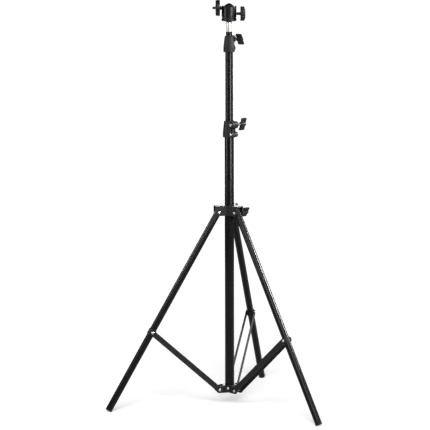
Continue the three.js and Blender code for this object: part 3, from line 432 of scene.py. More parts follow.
# Each finish by the record's material slot: its name, colour and the rest of finish_material's values.
FINISHES = {
    # Drawn aluminium tube, black anodised: die lines run along it and pull highlights into long,
    # narrow streaks.
    "tube_black": (
        "Anodised aluminium, drawn", "tube", 0.0015, 0.5, (1, 1, 0.02), (0.08, 0.01),
        (0.2, 0.26), {"Specular IOR Level": 0.08, "IOR": 1.5}),
    # Steel strip, powder coated: a faint orange peel that breaks up a satin highlight.
    "brace_black": (
        "Steel strip, powder coated", "brace", 0.003, 1.1, (1, 1, 1), (0.2, 0.04),
        (0.4, 0.5), {"Specular IOR Level": 0.12, "IOR": 1.5}),
    # Glass-filled nylon from a spark-eroded mould: an even fine grain, nearly matt. The grain is
    # really 0.2 mm and is drawn at 0.6 mm so that it shows.
    "moulded_black": (
        "Glass-filled nylon, moulded", "moulded", 0.004, 0.6, (1, 1, 1), (0.3, 0.06),
        (0.46, 0.58), {"Specular IOR Level": 0.1, "IOR": 1.53}),
    # ABS knob from a polished mould: smoother than the nylon.
    "knob_black": (
        "ABS, moulded", "moulded", 0.003, 0.9, (1, 1, 1), (0.15, 0.03),
        (0.36, 0.46), {"Specular IOR Level": 0.12, "IOR": 1.54}),
    # Turned aluminium, black anodised: the tool's rings run round it and spread the highlight.
    "head_black": (
        "Anodised aluminium, turned", "head", 0.002, 0.35, (0.03, 0.03, 1), (0.12, 0.02),
        (0.32, 0.4), {"Specular IOR Level": 0.12, "IOR": 1.5}),
    # Moulded rubber: matt, with a light bloom.
    "rubber_black": (
        "Rubber, moulded", "rubber", 0.006, 0.8, (1, 1, 1), (0.35, 0.08),
        (0.68, 0.8), {"Specular IOR Level": 0.1, "IOR": 1.52}),
    # Zinc plated steel: bright, with a slight haze.
    "bright_steel": (
        "Steel, zinc plated", "steel", 0.15, 0.7, (1, 1, 1), (0.06, 0.01), (0.32, 0.42), {"Metallic": 1.0}),
    # Black oxide on machined steel: dark with an oily sheen.
    "blackened_steel": (
        "Steel, black oxide", "blackened", 0.01, 0.5, (1, 1, 1), (0.1, 0.02),
        (0.3, 0.4), {"Specular IOR Level": 0.5, "IOR": 1.5}),
    # Nickel plate over turned brass: satin, with faint rings round it.
    "spigot_nickel": (
        "Brass, nickel plated", "nickel", 0.2, 0.4, (0.03, 0.03, 1), (0.05, 0.01),
        (0.42, 0.5), {"Metallic": 1.0}),
    # Natural grey acetal, as moulded.
    "bush_grey": (
        "Acetal, moulded", "acetal", 0.05, 0.8, (1, 1, 1), (0.1, 0.02),
        (0.4, 0.5), {"Specular IOR Level": 0.45, "IOR": 1.48}),
}

MATERIALS = {}


def material_for(slot):
    if slot not in MATERIALS:
        name, colour_name, *rest = FINISHES[slot]
        base = tuple(getattr(bpy.context.scene.stand_colours, colour_name))
        MATERIALS[slot] = finish_material(name, base, *rest)
    return MATERIALS[slot]


# ---- making a piece ----


def piece(node, how, bm, place, body, slot, edge=0.0, name=None):
    """Turns a mesh drawn in millimetres into a finished piece that stands for a CAD node on a body.

    It is named after the node, or name, and how the real one is made. edge rounds the sharp edges by
    that many millimetres."""
    name = f"{name or node}_{how}"
    bmesh.ops.scale(bm, vec=(MM, MM, MM), verts=bm.verts)
    if len(bm.faces) == 0:
        raise RuntimeError(f"{name} came out empty")
    mesh = bpy.data.meshes.new(name)
    bm.to_mesh(mesh)
    bm.free()
    mesh.polygons.foreach_set("use_smooth", [True] * len(mesh.polygons))
    mesh.set_sharp_from_angle(angle=SHARP)
    mesh.materials.append(material_for(slot))
    made = bpy.data.objects.new(name, mesh)
    bpy.context.scene.collection.objects.link(made)
    made.matrix_world = place
    if edge:
        bevel = made.modifiers.new("Rounded edges", "BEVEL")
        bevel.width = edge * MM
        bevel.segments = 3
        bevel.limit_method = "ANGLE"
        bevel.angle_limit = SHARP
        bevel.harden_normals = True
        made.modifiers.new("Even shading", "WEIGHTED_NORMAL").keep_sharp = True
    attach(made, body)
    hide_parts(node)
    return made


class StandOperator:
    """What the operators share: undo, and the sizes that a user may change."""

    bl_options = {"REGISTER", "UNDO"}

    def mm(self, size):
        """One of the user's sizes in millimetres."""
        return getattr(bpy.context.scene.stand_sizes, size) / MM

    def set_pins(self, kind, joint, body, radius, half, flip=False):
        """A pin with two domed heads in the hinge of each side."""
        head = rivet_head(self.mm("rivet_head"), self.mm("rivet_crown"), half)
        foot = [(r, -z) for r, z in reversed(head)]
        for side in SIDES:
            pin = turned([*foot, (radius, -half), (radius, half), *head], 40)
            piece(f"{kind}_{side}", "set", pin, hinge_frame(f"{joint}_{side}", flip) @ lying("Y"), body,
                  "bright_steel")


# ---- mast, legs and braces ----

MAST_TUBES = {"mast_tube_1": "mast_base", "mast_tube_2": "mast_2", "mast_tube_3": "mast_3"}


class STAND_OT_mast_tubes(StandOperator, bpy.types.Operator):
    """Three drawn tubes that slide in each other"""

    bl_idname = "stand.mast_tubes"
    bl_label = "Mast Tubes"

    def execute(self, context):
        for node, body in MAST_TUBES.items():
            low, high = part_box(node)
            tube = drawn_tube((high.x - low.x) / MM / 2, self.mm("tube_wall"), *height_range(node))
            piece(node, "drawn", tube, mast_frame(0), body, "tube_black")
        return {"FINISHED"}


LEG_LENGTH = 532  # hinge pin to the sole of the foot
LEG_RADIUS = 8
LEG_TOP = 9.5  # hinge pin to the tube's upper end
FOOT_CAP = 4
FOOT_PLUG = 14
BRACE_POINT = 322  # hinge pin to the brace rivet
SADDLE_HALF = 7
SADDLE_FLAT = 9
SADDLE_WALL = 1.2


class STAND_OT_legs(StandOperator, bpy.types.Operator):
    """Leg tubes, each with its rubber foot cap and the saddle that its brace is riveted beside"""

    bl_idname = "stand.legs"
    bl_label = "Legs"

    def execute(self, context):
        for side in SIDES:
            place = leg_frame(side)
            body = f"leg_{side}"
            tube = drawn_tube(LEG_RADIUS, self.mm("tube_wall"), FOOT_CAP - LEG_LENGTH + FIT, LEG_TOP)
            piece(f"leg_tube_{side}", "drawn", tube, place, body, "tube_black", name=f"leg_{side}")
            piece(f"foot_cap_{side}", "moulded", self.foot_cap(), place, body, "rubber_black")
            piece(f"leg_saddle_{side}", "moulded", self.saddle(), place, body, "moulded_black",
                  name=f"saddle_{side}")
        return {"FINISHED"}

    def foot_cap(self):
        """Flush cap with a domed sole, a groove round it and a plug inside the tube."""
        end = -LEG_LENGTH
        lip = end + FOOT_CAP
        plug = LEG_RADIUS - self.mm("tube_wall") - FIT
        outline = [
            (0, end + 0.25), (LEG_RADIUS * 0.5, end + 0.12), (LEG_RADIUS - 0.9, end),
            (LEG_RADIUS, end + 0.8), (LEG_RADIUS, end + 1.9), (LEG_RADIUS - 0.25, end + 2.15),
            (LEG_RADIUS, end + 2.4),
            (LEG_RADIUS, lip - 0.2), (LEG_RADIUS - 0.3, lip), (plug, lip), (plug, lip + FOOT_PLUG - 1),
            (plug - 1, lip + FOOT_PLUG), (0, lip + FOOT_PLUG),
        ]
        return lathe(outline, 0.3)

    def saddle(self):
        inner = LEG_RADIUS + FIT
        outer = inner + SADDLE_WALL
        outline = [(inner, -SADDLE_HALF), (outer, -SADDLE_HALF), (outer, SADDLE_HALF), (inner, SADDLE_HALF)]
        sleeve = lathe(outline, 0.5, sides=96)
        # Pressed flat where the brace bars pass.
        for vertex in sleeve.verts:
            vertex.co.y = max(-SADDLE_FLAT, min(SADDLE_FLAT, vertex.co.y))
        return moved(sleeve, shift(0, 0, -BRACE_POINT))


BRACE_AT_HUB = 10.2  # middle plane to a bar's inner face, at each end
BRACE_AT_LEG = 9.3
HUB_PIN_RADIUS = 2
RIVET_RADIUS = 2


def brace_length():
    """Hub pin to leg rivet, from where the open leg and the hub stand."""
    leg = leg_frame("left") @ Vector((0, 0, -BRACE_POINT * MM))
    return (leg - Vector(JOINTS["brace_hinge_left"]["pos_m"])).length / MM


class STAND_OT_braces(StandOperator, bpy.types.Operator):
    """Pairs of pressed flat bars with their rivets"""

    bl_idname = "stand.braces"
    bl_label = "Braces"

    def execute(self, context):
        reach = brace_length()
        splay = math.asin((BRACE_AT_HUB - BRACE_AT_LEG) / reach)
        for side in SIDES:
            for letter, hand in (("a", 1), ("b", -1)):
                place = (brace_frame(side) @ Matrix.Translation((0, hand * BRACE_AT_HUB * MM, 0))
                         @ Matrix.Rotation(hand * splay, 4, "X"))
                body = f"brace_{side}"
                piece(f"brace_bar_{side}_{letter}", "pressed", self.bar(reach, hand), place, body,
                      "brace_black", self.mm("metal_edge") * 1.6, name=f"brace_{side}_{letter}")
                piece(f"brace_rivet_{side}_{letter}", "set", self.rivet(reach, hand), place, body,
                      "bright_steel", name=f"rivet_{side}_{letter}")
        return {"FINISHED"}

    def bar(self, reach, hand):
        """Flat bar with round ends and a hole in each."""
        half = self.mm("brace_width") / 2
        thick = self.mm("brace_thickness")
        outline = arc((0, 0), half, 180, 360) + arc((0, reach), half, 0, 180)
        bar = plate(outline, 0, hand * thick)
        hub_hole = moved(rod(HUB_PIN_RADIUS + 0.3, -4, 4, 32), lying("Y"))
        leg_hole = moved(rod(RIVET_RADIUS + FIT, -4, 4, 32), shift(0, 0, reach) @ lying("Y"))
        return carved(bar, hub_hole, leg_hole)

    def rivet(self, reach, hand):
        thick = self.mm("brace_thickness") + FIT
        head = rivet_head(self.mm("rivet_head"), self.mm("rivet_crown"), thick)
        outline = [(0, 0), (RIVET_RADIUS, 0), (RIVET_RADIUS, thick), *head]
        turn = lying("Y") if hand > 0 else lying("Y") @ Matrix.Rotation(math.pi, 4, "X")
        return moved(turned(outline, 40), shift(0, 0, reach) @ turn)


# ---- hub and collar ----

HINGE_REACH = 27  # mast axis to a hinge pin
MAST_1_RADIUS = 11
BARREL_RADIUS = 14.5
BARREL_EDGE = 1.2
SLOT_HALF = 8.3
HUB_HEIGHT = 40
HUB_LOW = -6
HUB_TOP = 10
EAR_RADIUS = 8
EAR_HALF = 9.9
HUB_SCREW_AZIMUTH = 253
HUB_SCREW_RADIUS = 1.6


def barrel(low, high):
    """Body round the mast that the lugs grow from."""
    outline = [(0, low), (BARREL_RADIUS, low), (BARREL_RADIUS, high), (0, high)]
    return lathe(outline, BARREL_EDGE, 5, 72)


def round_the_mast(draw, joint, flip=False):
    """The lugs and the slots that draw() makes towards +X, one of each turned to every side."""
    lugs, slots = [], []
    for side in SIDES:
        turn = hinge_frame(f"{joint}_{side}", flip)
        turn.translation = (0, 0, 0)
        lug, slot = draw()
        lugs.append(moved(lug, turn))
        slots.append(moved(slot, turn))
    return lugs, slots


class STAND_OT_lower_hub(StandOperator, bpy.types.Operator):
    """Moulded hub on the foot of the mast that the braces are pinned to"""

    bl_idname = "stand.lower_hub"
    bl_label = "Lower Hub"

    def execute(self, context):
        lugs, slots = round_the_mast(self.ears, "brace_hinge", flip=True)
        under = rod(MAST_1_RADIUS + 0.5, HUB_LOW * 2, HUB_LOW, 64)
        bore = rod(MAST_1_RADIUS + FIT, HUB_LOW / 2, HUB_TOP + 4, 64)
        hub = carved(united(barrel(HUB_LOW, HUB_TOP), *lugs), *slots, under, bore)
        place = mast_frame(HUB_HEIGHT)
        piece("lower_hub", "moulded", hub, place, "mast_base", "moulded_black", self.mm("mould_edge"))
        self.set_pins("hub_pin", "brace_hinge", "mast_base", HUB_PIN_RADIUS, BRACE_AT_HUB + 1.8, flip=True)
        face = BARREL_RADIUS + FIT
        head = rivet_head(self.mm("rivet_head"), self.mm("rivet_crown"), face)
        screw = turned([(0, 9.8), (HUB_SCREW_RADIUS, 9.8), (HUB_SCREW_RADIUS, face), *head], 40)
        place = mast_frame(HUB_HEIGHT + 3, HUB_SCREW_AZIMUTH) @ lying("X")
        piece("hub_screw", "set", screw, place, "mast_base", "bright_steel")
        return {"FINISHED"}

    def ears(self):
        """A pair of ears round the brace pin, and the slot between them."""
        outline = [(0, -EAR_RADIUS), (HINGE_REACH, -EAR_RADIUS),
                   *arc((HINGE_REACH, 0), EAR_RADIUS, -90, 50, 20), (18.5, HUB_TOP), (0, HUB_TOP)]
        slot = block((16.5, -SLOT_HALF, -12), (40, SLOT_HALF, 12))
        return plate(outline, -EAR_HALF, EAR_HALF), slot


COLLAR_LOW = -8.5
COLLAR_TOP = 15.02
COLLAR_CEILING = 12.72
COLLAR_SLIDE = 0.3
CHEEK_RADIUS = 8.5
CHEEK_HALF = 10.9
LEG_PIN_RADIUS = 2.5
KNOB_DROP = 4
BOSS_RADIUS = 8
BOSS_REACH = 29
KNOB_AZIMUTH = 22
SCREW_RADIUS = 2.5
SCREW_HOLE = 2.8


class STAND_OT_leg_collar(StandOperator, bpy.types.Operator):
    """Moulded collar that slides on the mast and carries the leg hinges"""

    bl_idname = "stand.leg_collar"
    bl_label = "Leg Collar"

    def execute(self, context):
        lugs, slots = round_the_mast(self.clevis, "leg_hinge")
        aim = Matrix.Rotation(math.radians(KNOB_AZIMUTH), 4, "Z") @ shift(0, 0, -KNOB_DROP)
        outline = [(0, 0), (BOSS_RADIUS, 0), (BOSS_RADIUS, BOSS_REACH), (0, BOSS_REACH)]
        boss = lathe(outline, BARREL_EDGE, 5, 56)
        shoulder = block((0, -BOSS_RADIUS, 0), (BOSS_REACH - 1, BOSS_RADIUS, COLLAR_CEILING + KNOB_DROP))
        bore = rod(MAST_1_RADIUS + COLLAR_SLIDE, -14, 20, 64)
        screw_hole = moved(moved(rod(SCREW_HOLE, 1, 40, 32), lying("X")), aim)
        whole = united(barrel(COLLAR_LOW, COLLAR_TOP), *lugs, moved(moved(boss, lying("X")), aim),
                       moved(shoulder, aim))
        place = mast_frame(Vector(JOINTS["leg_hinge_left"]["pos_m"]).z / MM)
        piece("leg_collar", "moulded", carved(whole, *slots, bore, screw_hole), place, "collar",
              "moulded_black", self.mm("mould_edge"))
        self.set_pins("leg_pin", "leg_hinge", "collar", LEG_PIN_RADIUS, CHEEK_HALF + FIT)
        return {"FINISHED"}

    def clevis(self):
        """Two cheeks under a roof, and the slot between them."""
        end = HINGE_REACH + CHEEK_RADIUS
        outline = [(0, COLLAR_LOW), (HINGE_REACH, COLLAR_LOW),
                   *arc((HINGE_REACH, 0), CHEEK_RADIUS, -90, 0, 14),
                   (end, COLLAR_TOP - 1.5), (end - 1.5, COLLAR_TOP), (0, COLLAR_TOP)]
        slot = block((BARREL_RADIUS, -SLOT_HALF, -14), (60, SLOT_HALF, COLLAR_CEILING))
        return plate(outline, -CHEEK_HALF, CHEEK_HALF), slot


# ---- clamps and thumb screws ----


FIXING_HEIGHT = 8
FIXING_RADIUS = 2
SCREW_DROP = 8.5
NUT_ACROSS = 8
POCKET_ACROSS = 8.2
SLIT_HALF = 0.8


class Clamp(namedtuple("Clamp", "name body azimuth hand height radii seat bores reach half")):
    """One mast clamp: its name, body, azimuth of the ears, side of the knob (1 or -1), height, radii at
    the foot and the top, height of the shoulder between its two bores, their radii, the reach from the
    mast's axis to its screws and half the width over its bosses."""

    @property
    def frame(self):
        return mast_frame(height_range(f"{self.name}_clamp")[0], self.azimuth)

    @property
    def screw_height(self):
        return self.height - SCREW_DROP


CLAMPS = (
    Clamp("lock_1", "mast_base", 305, 1, 39, (15, 12.2), 18, (11.1, 9.4), 17, 8.5),
    Clamp("lock_2", "mast_2", 68, -1, 37.5, (13.4, 10.4), 17, (9.35, 7.65), 15.5, 7.5),
)


class STAND_OT_clamps(StandOperator, bpy.types.Operator):
    """Moulded split clamps that grip the mast sections"""

    bl_idname = "stand.clamps"
    bl_label = "Mast Clamps"

    def execute(self, context):
        for clamp in CLAMPS:
            side = Matrix.Diagonal((1, clamp.hand, 1, 1))
            self.body(clamp, side)
            self.nut(clamp, side)
            self.fixing_screw(clamp, side)
        return {"FINISHED"}

    def body(self, clamp, side):
        low, high = clamp.radii
        top, half, reach = clamp.height, clamp.half, clamp.reach
        sleeve = turned(rounded([
            (0, 0), (low - 0.8, 0), (low, 0.8), (low, top * 0.3), (high, top - 1.2), (high - 1.2, top),
            (0, top),
        ], 0.8, 4), 72)
        upper = turned(rounded([
            (0, -half), (8.5, -half), (8.5, half), (6.2, half + 1.6), (4.4, half + 3), (0, half + 3),
        ], 0.9, 4), 48)
        lower = turned(rounded([(0, -half), (6.4, -half), (6.4, half), (4.4, half + 1.2), (0, half + 1.2)],
                               0.8, 4), 48)
        web = block((0, -4, FIXING_HEIGHT), (reach + 2.4, 4, clamp.screw_height))
        at_screw = shift(reach, 0, clamp.screw_height) @ lying("Y")
        at_fixing = shift(reach, 0, FIXING_HEIGHT) @ lying("Y")
        whole = united(sleeve, moved(upper, at_screw), moved(lower, at_fixing), web)
        slit = block((0, -SLIT_HALF, -1), (reach + 12, SLIT_HALF, top + 1))
        pocket = turned([(0, -half - 1), (20, -half - 1), (20, 2 - half), (0, 2 - half)], 48,
                        hexagon_radius(POCKET_ACROSS))
        result = carved(
            whole, slit, rod(clamp.bores[0], -1, clamp.seat, 64),
            rod(clamp.bores[1], clamp.seat - 1, top + 1, 64),
            moved(rod(SCREW_HOLE, -half - 1, half + 4, 32), at_screw), moved(pocket, at_screw))
        piece(f"{clamp.name}_clamp", "moulded", moved(result, side), clamp.frame, clamp.body,
              "moulded_black", self.mm("mould_edge"))

    def nut(self, clamp, side):
        start = 1.9 - clamp.half - 4
        nut = turned(rounded([(2.6, start), (4.1, start), (4.65, start + 0.4), (4.65, start + 3.6),
                              (4.1, start + 4), (2.6, start + 4)], 0.1, 1), 72, hexagon_radius(NUT_ACROSS))
        place = shift(clamp.reach, 0, clamp.screw_height) @ lying("Y")
        piece(f"{clamp.name}_nut", "plated", moved(moved(nut, place), side), clamp.frame, clamp.body,
              "bright_steel")

    def fixing_screw(self, clamp, side):
        """Pan head screw with a cross recess."""
        face = clamp.half
        outline = [(0, 1 - face), (FIXING_RADIUS, 1 - face), (FIXING_RADIUS, face), (3.5, face),
                   (3.6, face + 0.6), (3.3, face + 1.4), (2.4, face + 2), (0, face + 2.2)]
        screw = lathe(outline, 0.2, 2, 48)
        arms = [block((-2.1, -0.4, face + 0.9), (2.1, 0.4, face + 3)),
                block((-0.4, -2.1, face + 0.9), (0.4, 2.1, face + 3))]
        head = moved(carved(screw, *arms), Matrix.Rotation(math.pi, 4, "X"))
        place = shift(clamp.reach, 0, FIXING_HEIGHT) @ lying("Y")
        piece(f"{clamp.name}_fixing_screw", "plated", moved(moved(head, place), side), clamp.frame,
              clamp.body, "bright_steel", 0.08)


class ThumbScrew(namedtuple("ThumbScrew", "name body joint tail start turn")):
    """A wing knob on its screw, on a hinge of the frame: where the screw and the knob start, and the turn
    of its wings from upright."""

    @property
    def frame(self):
        """Z along the screw and Y along the wings."""
        joint = JOINTS[self.joint]
        outward = Vector(joint["axis"])
        turn = math.radians(self.turn)
        wings = UP * math.cos(turn) - UP.cross(outward) * math.sin(turn)
        return axes_frame(Vector(joint["pos_m"]), wings.cross(outward), outward)


THUMB_SCREWS = (
    ThumbScrew("collar", "collar_handle", "collar_knob_turn", -18.7, 2.5, 42),
    ThumbScrew("lock_1", "lock_1_handle", "lock_1_knob_turn", -11.7, 19.2, 20),
    ThumbScrew("lock_2", "lock_2_handle", "lock_2_knob_turn", -10.7, 13.4, 36),
)


class STAND_OT_thumb_screws(StandOperator, bpy.types.Operator):
    """Wing knobs with their screws"""

    bl_idname = "stand.thumb_screws"
    bl_label = "Thumb Screws"

    def execute(self, context):
        for screw in THUMB_SCREWS:
            thread = threaded(SCREW_RADIUS, screw.tail, screw.start + 9.3, self.mm("screw_pitch"), 0.45)
            piece(f"{screw.name}_screw", "plated", thread, screw.frame, screw.body, "bright_steel")
            knob = moved(self.knob(), shift(0, 0, screw.start))
            piece(f"{screw.name}_knob", "moulded", knob, screw.frame, screw.body, "moulded_black")
        return {"FINISHED"}

    def knob(self):
        """Hub and two wings, as one moulding that starts at 0 on Z."""
        outline = [(0, 0), (4.9, 0), (5.4, 0.8), (5.4, 13), (3.8, 15), (0, 15.2)]
        hub = lathe(outline, 0.8, 4, 56)
        return united(hub, self.wings())

    def wings(self):
        """Loft of rounded sections from tip to tip along Y."""
        half = self.mm("wing_span") / 2
        thick = self.mm("wing_thickness") / 2
        softness = 0.55  # 0 makes a section square and 1 an ellipse
        stations, points = 29, 24
        bm = bmesh.new()
        rings = []
        for i in range(stations):
            t = -1 + 2 * i / (stations - 1)
            s = math.sin(t * math.pi / 2)
            edge = max(1 - abs(s) ** 9, 0.0) ** 0.5
            low = 1.2 - 2.1 * min(abs(s) * 1.3, 1) ** 2 + 2.8 * (1 - edge)
            high = 15.4 - 0.8 * (1 - min(abs(s) * 1.25, 1) ** 2) - 2.8 * (1 - edge)
            fat = thick * (0.86 + 0.14 * math.cos(s * math.pi)) * (0.35 + 0.65 * edge)
            ring = []
            for k in range(points):
                a = FULL_TURN * k / points
                across = math.copysign(abs(math.cos(a)) ** softness, math.cos(a))
                up = math.copysign(abs(math.sin(a)) ** softness, math.sin(a))
                z = (low + high) / 2 + (high - low) / 2 * up
                ring.append(bm.verts.new((fat * across, s * half, z)))
            rings.append(ring)
        for near, far in zip(rings, rings[1:]):
            skin(bm, near, far)
        bm.faces.new(rings[0])
        bm.faces.new(rings[-1])
        bmesh.ops.recalc_face_normals(bm, faces=bm.faces)
        return bm


# ---- ball head ----

HEAD_RADIUS = 17.4
HOUSING_TOP = 36.6
BALL_RADIUS = 11
BALL_HEIGHT = 31.6
SEAT_RADIUS = 11.15
NOTCH_HALF = 4.4
STEM_RADIUS = 3.8
STEM_END = 24.3
PLATFORM_RADIUS = 18.6
PLATFORM_LOW = 21
PLATFORM_TOP = 28.3
PAD_RADIUS = 18
PAD_TOP = 31.1
STUD_RADIUS = 3.1
SPIGOT_RADIUS = 6.6
SPIGOT_BORE_RADIUS = 6.4
SPIGOT_STUD_RADIUS = 3.1


def head_height():
    return height_range("head_base")[0]


class STAND_OT_spigot(StandOperator, bpy.types.Operator):
    """Nickel plated spigot between the mast and the head"""

    bl_idname = "stand.spigot"
    bl_label = "Spigot"

    def execute(self, context):
        seat = height_range("mast_tube_3")[1] + FIT
        top = head_height() - FIT
        full, inside, stud = SPIGOT_RADIUS, SPIGOT_BORE_RADIUS, SPIGOT_STUD_RADIUS
        outline = [
            (0, seat - 26), (6.3, seat - 26), (inside, seat - 25), (inside, seat), (full, seat),
            (full, seat + 3.2), (5.7, seat + 4), (5.7, seat + 6.4), (full, seat + 7.2), (full, seat + 12),
            (6.4, seat + 12.25), (full, seat + 12.5), (full, top - 0.8), (5.8, top), (stud, top),
            (stud, top + 8.4), (2.5, top + 9), (0, top + 9),
        ]
        piece("spigot", "turned", lathe(outline, 0.25), mast_frame(0), "mast_3", "spigot_nickel")
        return {"FINISHED"}


class STAND_OT_head(StandOperator, bpy.types.Operator):
    """Base ring and housing of the ball head"""

    bl_idname = "stand.head"
    bl_label = "Head Base and Housing"

    def execute(self, context):
        place = mast_frame(head_height())
        piece("head_base", "turned", self.base(), place, "head", "head_black")
        piece("head_housing", "turned", self.housing(), place, "head", "head_black", self.mm("metal_edge"))
        return {"FINISHED"}

    def base(self):
        """Screwed ring with a straight knurl and the neck that shows as a dark groove."""
        outline = rounded([
            (3.2, 0), (7.5, 0), (7.5, 1.6), (16.4, 1.6), (HEAD_RADIUS, 2.5), (HEAD_RADIUS, 7.3), (16.9, 8),
            (15.8, 8), (15.8, 9.7), (13, 9.7), (13, 14.4), (3.2, 14.4),
        ], 0.3, 2)

        def knurl(r, angle, _height):
            return r - 0.16 * (0.5 + 0.5 * math.cos(72 * angle)) if r > HEAD_RADIUS - 0.05 else r

        return turned(outline, 288, knurl)

    def housing(self):
        """Cup with a fine groove near its foot, the ball's seat, and the notch that the stem drops into."""
        edge = 1.6
        seat = arc((0, BALL_HEIGHT), SEAT_RADIUS, 26.6, 0, 12)
        outline = [
            (13.1, 9.8), (17, 9.8), (HEAD_RADIUS, 10.2), (HEAD_RADIUS, 12.6), (17.2, 12.8),
            (HEAD_RADIUS, 13.0), *arc((HEAD_RADIUS - edge, HOUSING_TOP - edge), edge, 0, 90, 8), *seat,
            (SEAT_RADIUS, BALL_HEIGHT - 4), (13.1, BALL_HEIGHT - 4),
        ]
        notch = moved(rod(NOTCH_HALF, -22, -5.5, 40), shift(0, 0, BALL_HEIGHT) @ lying("X"))
        mouth = block((-22, -NOTCH_HALF, BALL_HEIGHT), (-5.5, NOTCH_HALF, 45))
        hole = moved(rod(2.6, 10, 20, 32), shift(0, 0, 18.2) @ lying("X"))
        return carved(turned(outline, 96), notch, mouth, hole)


class STAND_OT_swivel(StandOperator, bpy.types.Operator):
    """Ball with its stem, and the platform with pad and camera stud"""

    bl_idname = "stand.swivel"
    bl_label = "Ball and Platform"

    def execute(self, context):
        joint = JOINTS["ball_tilt"]
        centre = Vector(joint["pos_m"])
        place = axes_frame(centre, UP, (-1, 0, 0))
        piece("ball_stem", "turned", self.ball(), place, "ball", "head_black", name="ball")
        piece("camera_platform", "turned", self.platform(), place, "platform", "head_black",
              name="platform")
        piece("platform_pad", "moulded", self.pad(), place, "platform", "rubber_black")
        stud = threaded(STUD_RADIUS, 25, 38.7, self.mm("stud_pitch"), 0.7)
        piece("camera_stud", "plated", stud, place, "platform", "blackened_steel")
        return {"FINISHED"}

    def ball(self):
        join = math.degrees(math.acos(STEM_RADIUS / BALL_RADIUS))
        sphere = [(max(r, 0), z) for r, z in arc((0, 0), BALL_RADIUS, -90, join, 24)]
        sphere[0] = (0, -BALL_RADIUS)
        stem = [(STEM_RADIUS, 18.7), (5, 19.7), (5, 20.6), (STEM_RADIUS, 20.7), (STEM_RADIUS, STEM_END),
                (0, STEM_END)]
        return turned(sphere + stem)

    def platform(self):
        """Disc with a coin-edge knurl."""
        rim, low, top = PLATFORM_RADIUS, PLATFORM_LOW, PLATFORM_TOP
        outline = rounded([(0, low), (rim - 1.2, low), (rim, low + 1.2), (rim, top - 0.4), (rim - 0.4, top),
                           (0, top)], 0.3, 2)

        def knurl(r, angle, _height):
            return r - 0.14 * (0.5 + 0.5 * math.cos(90 * angle)) if r > rim - 0.05 else r

        return turned(outline, 360, knurl)

    def pad(self):
        """Rubber face with rings that grip the camera."""
        rings = []
        for i in range(6):
            r = 16.2 - 2.1 * i
            rings += [(r, PAD_TOP), (r - 0.35, 30.75), (r - 0.7, 30.75), (r - 1.05, PAD_TOP)]
        low, hole = PLATFORM_TOP + FIT, STUD_RADIUS + FIT
        outline = [(hole, low), (PAD_RADIUS, low), (PAD_RADIUS, 30.4), (17.3, PAD_TOP), *rings,
                   (hole, PAD_TOP)]
        return lathe(outline, 0.15, 2, 96)


class STAND_OT_head_knob(StandOperator, bpy.types.Operator):
    """Fluted lock knob and its screw"""

    bl_idname = "stand.head_knob"
    bl_label = "Lock Knob"

    def execute(self, context):
        joint = JOINTS["head_knob_turn"]
        place = axes_frame(Vector(joint["pos_m"]), UP, joint["axis"])
        piece("head_knob", "moulded", self.knob(), place, "head_handle", "knob_black")
        screw = threaded(2.3, -17.6, 4.6, self.mm("screw_pitch"), 0.4)
        piece("head_screw", "plated", screw, place, "head_handle", "bright_steel")
        return {"FINISHED"}

    def knob(self):
        """Disc with rounded flutes, a raised ring and a dished centre on its domed face."""
        rim, radius = 9.8, 16.8
        outline = rounded([
            (0, -7.8), (3.4, -7.8), (3.4, -1), (4.4, 0), (radius - 1, 0), (radius, 1), (radius, rim - 1.2),
            (radius - 1.2, rim), (12, rim + 1.5), (10.6, rim + 2.2), (9.4, rim + 2), (8.6, rim + 1.5),
            (4, rim + 1.9), (0, rim + 2),
        ], 0.5, 3)
        flutes = bpy.context.scene.stand_sizes.knob_flutes

        def fluted(r, angle, _height):
            dip = max(0.0, math.cos(flutes * angle)) ** 1.5
            share = min(max((r - 13.5) / 3.3, 0), 1)
            return r - 1.0 * dip * share

        return turned(outline, flutes * 16, fluted)


class STAND_OT_inner_pieces(StandOperator, bpy.types.Operator):
    """Gives the pieces that stay as the CAD made them their finish and rounded edges"""

    bl_idname = "stand.inner_pieces"
    bl_label = "Inner Pieces"

    def execute(self, context):
        slots = {part["node"]: part["material_slot"] for part in frame["record"]["subparts"]}
        for name, node in frame["nodes"].items():
            if node.hide_render:
                continue
            node.data.materials.clear()
            node.data.materials.append(material_for(slots[name]))
            bevel = node.modifiers.new("Rounded edges", "BEVEL")
            bevel.width = 0.15 * MM
            bevel.segments = 2
            bevel.limit_method = "ANGLE"
        return {"FINISHED"}


# ---- studio ----

CAMERA_PLACE = (-0.0828, -6.0327, 1.4698)
CAMERA_PITCH = 9.59
CAMERA_YAW = 0.8755
CAMERA_ROLL = -0.15
CAMERA_LENS = 217.76
CAMERA_SENSOR = 36
FLOOR_RADIUS = 1.8
FLOOR_GLOW = 0.47
SKY_SEEN = 1.1
SKY_CAST = 0.03
OVERHEAD_STRENGTH = 4.1
OVERHEAD_SOFTNESS = 40
OVERHEAD_TILT = 58
OVERHEAD_TURN = -6
STRIP_DISTANCE = 1.7
STRIP_SPREAD = 60


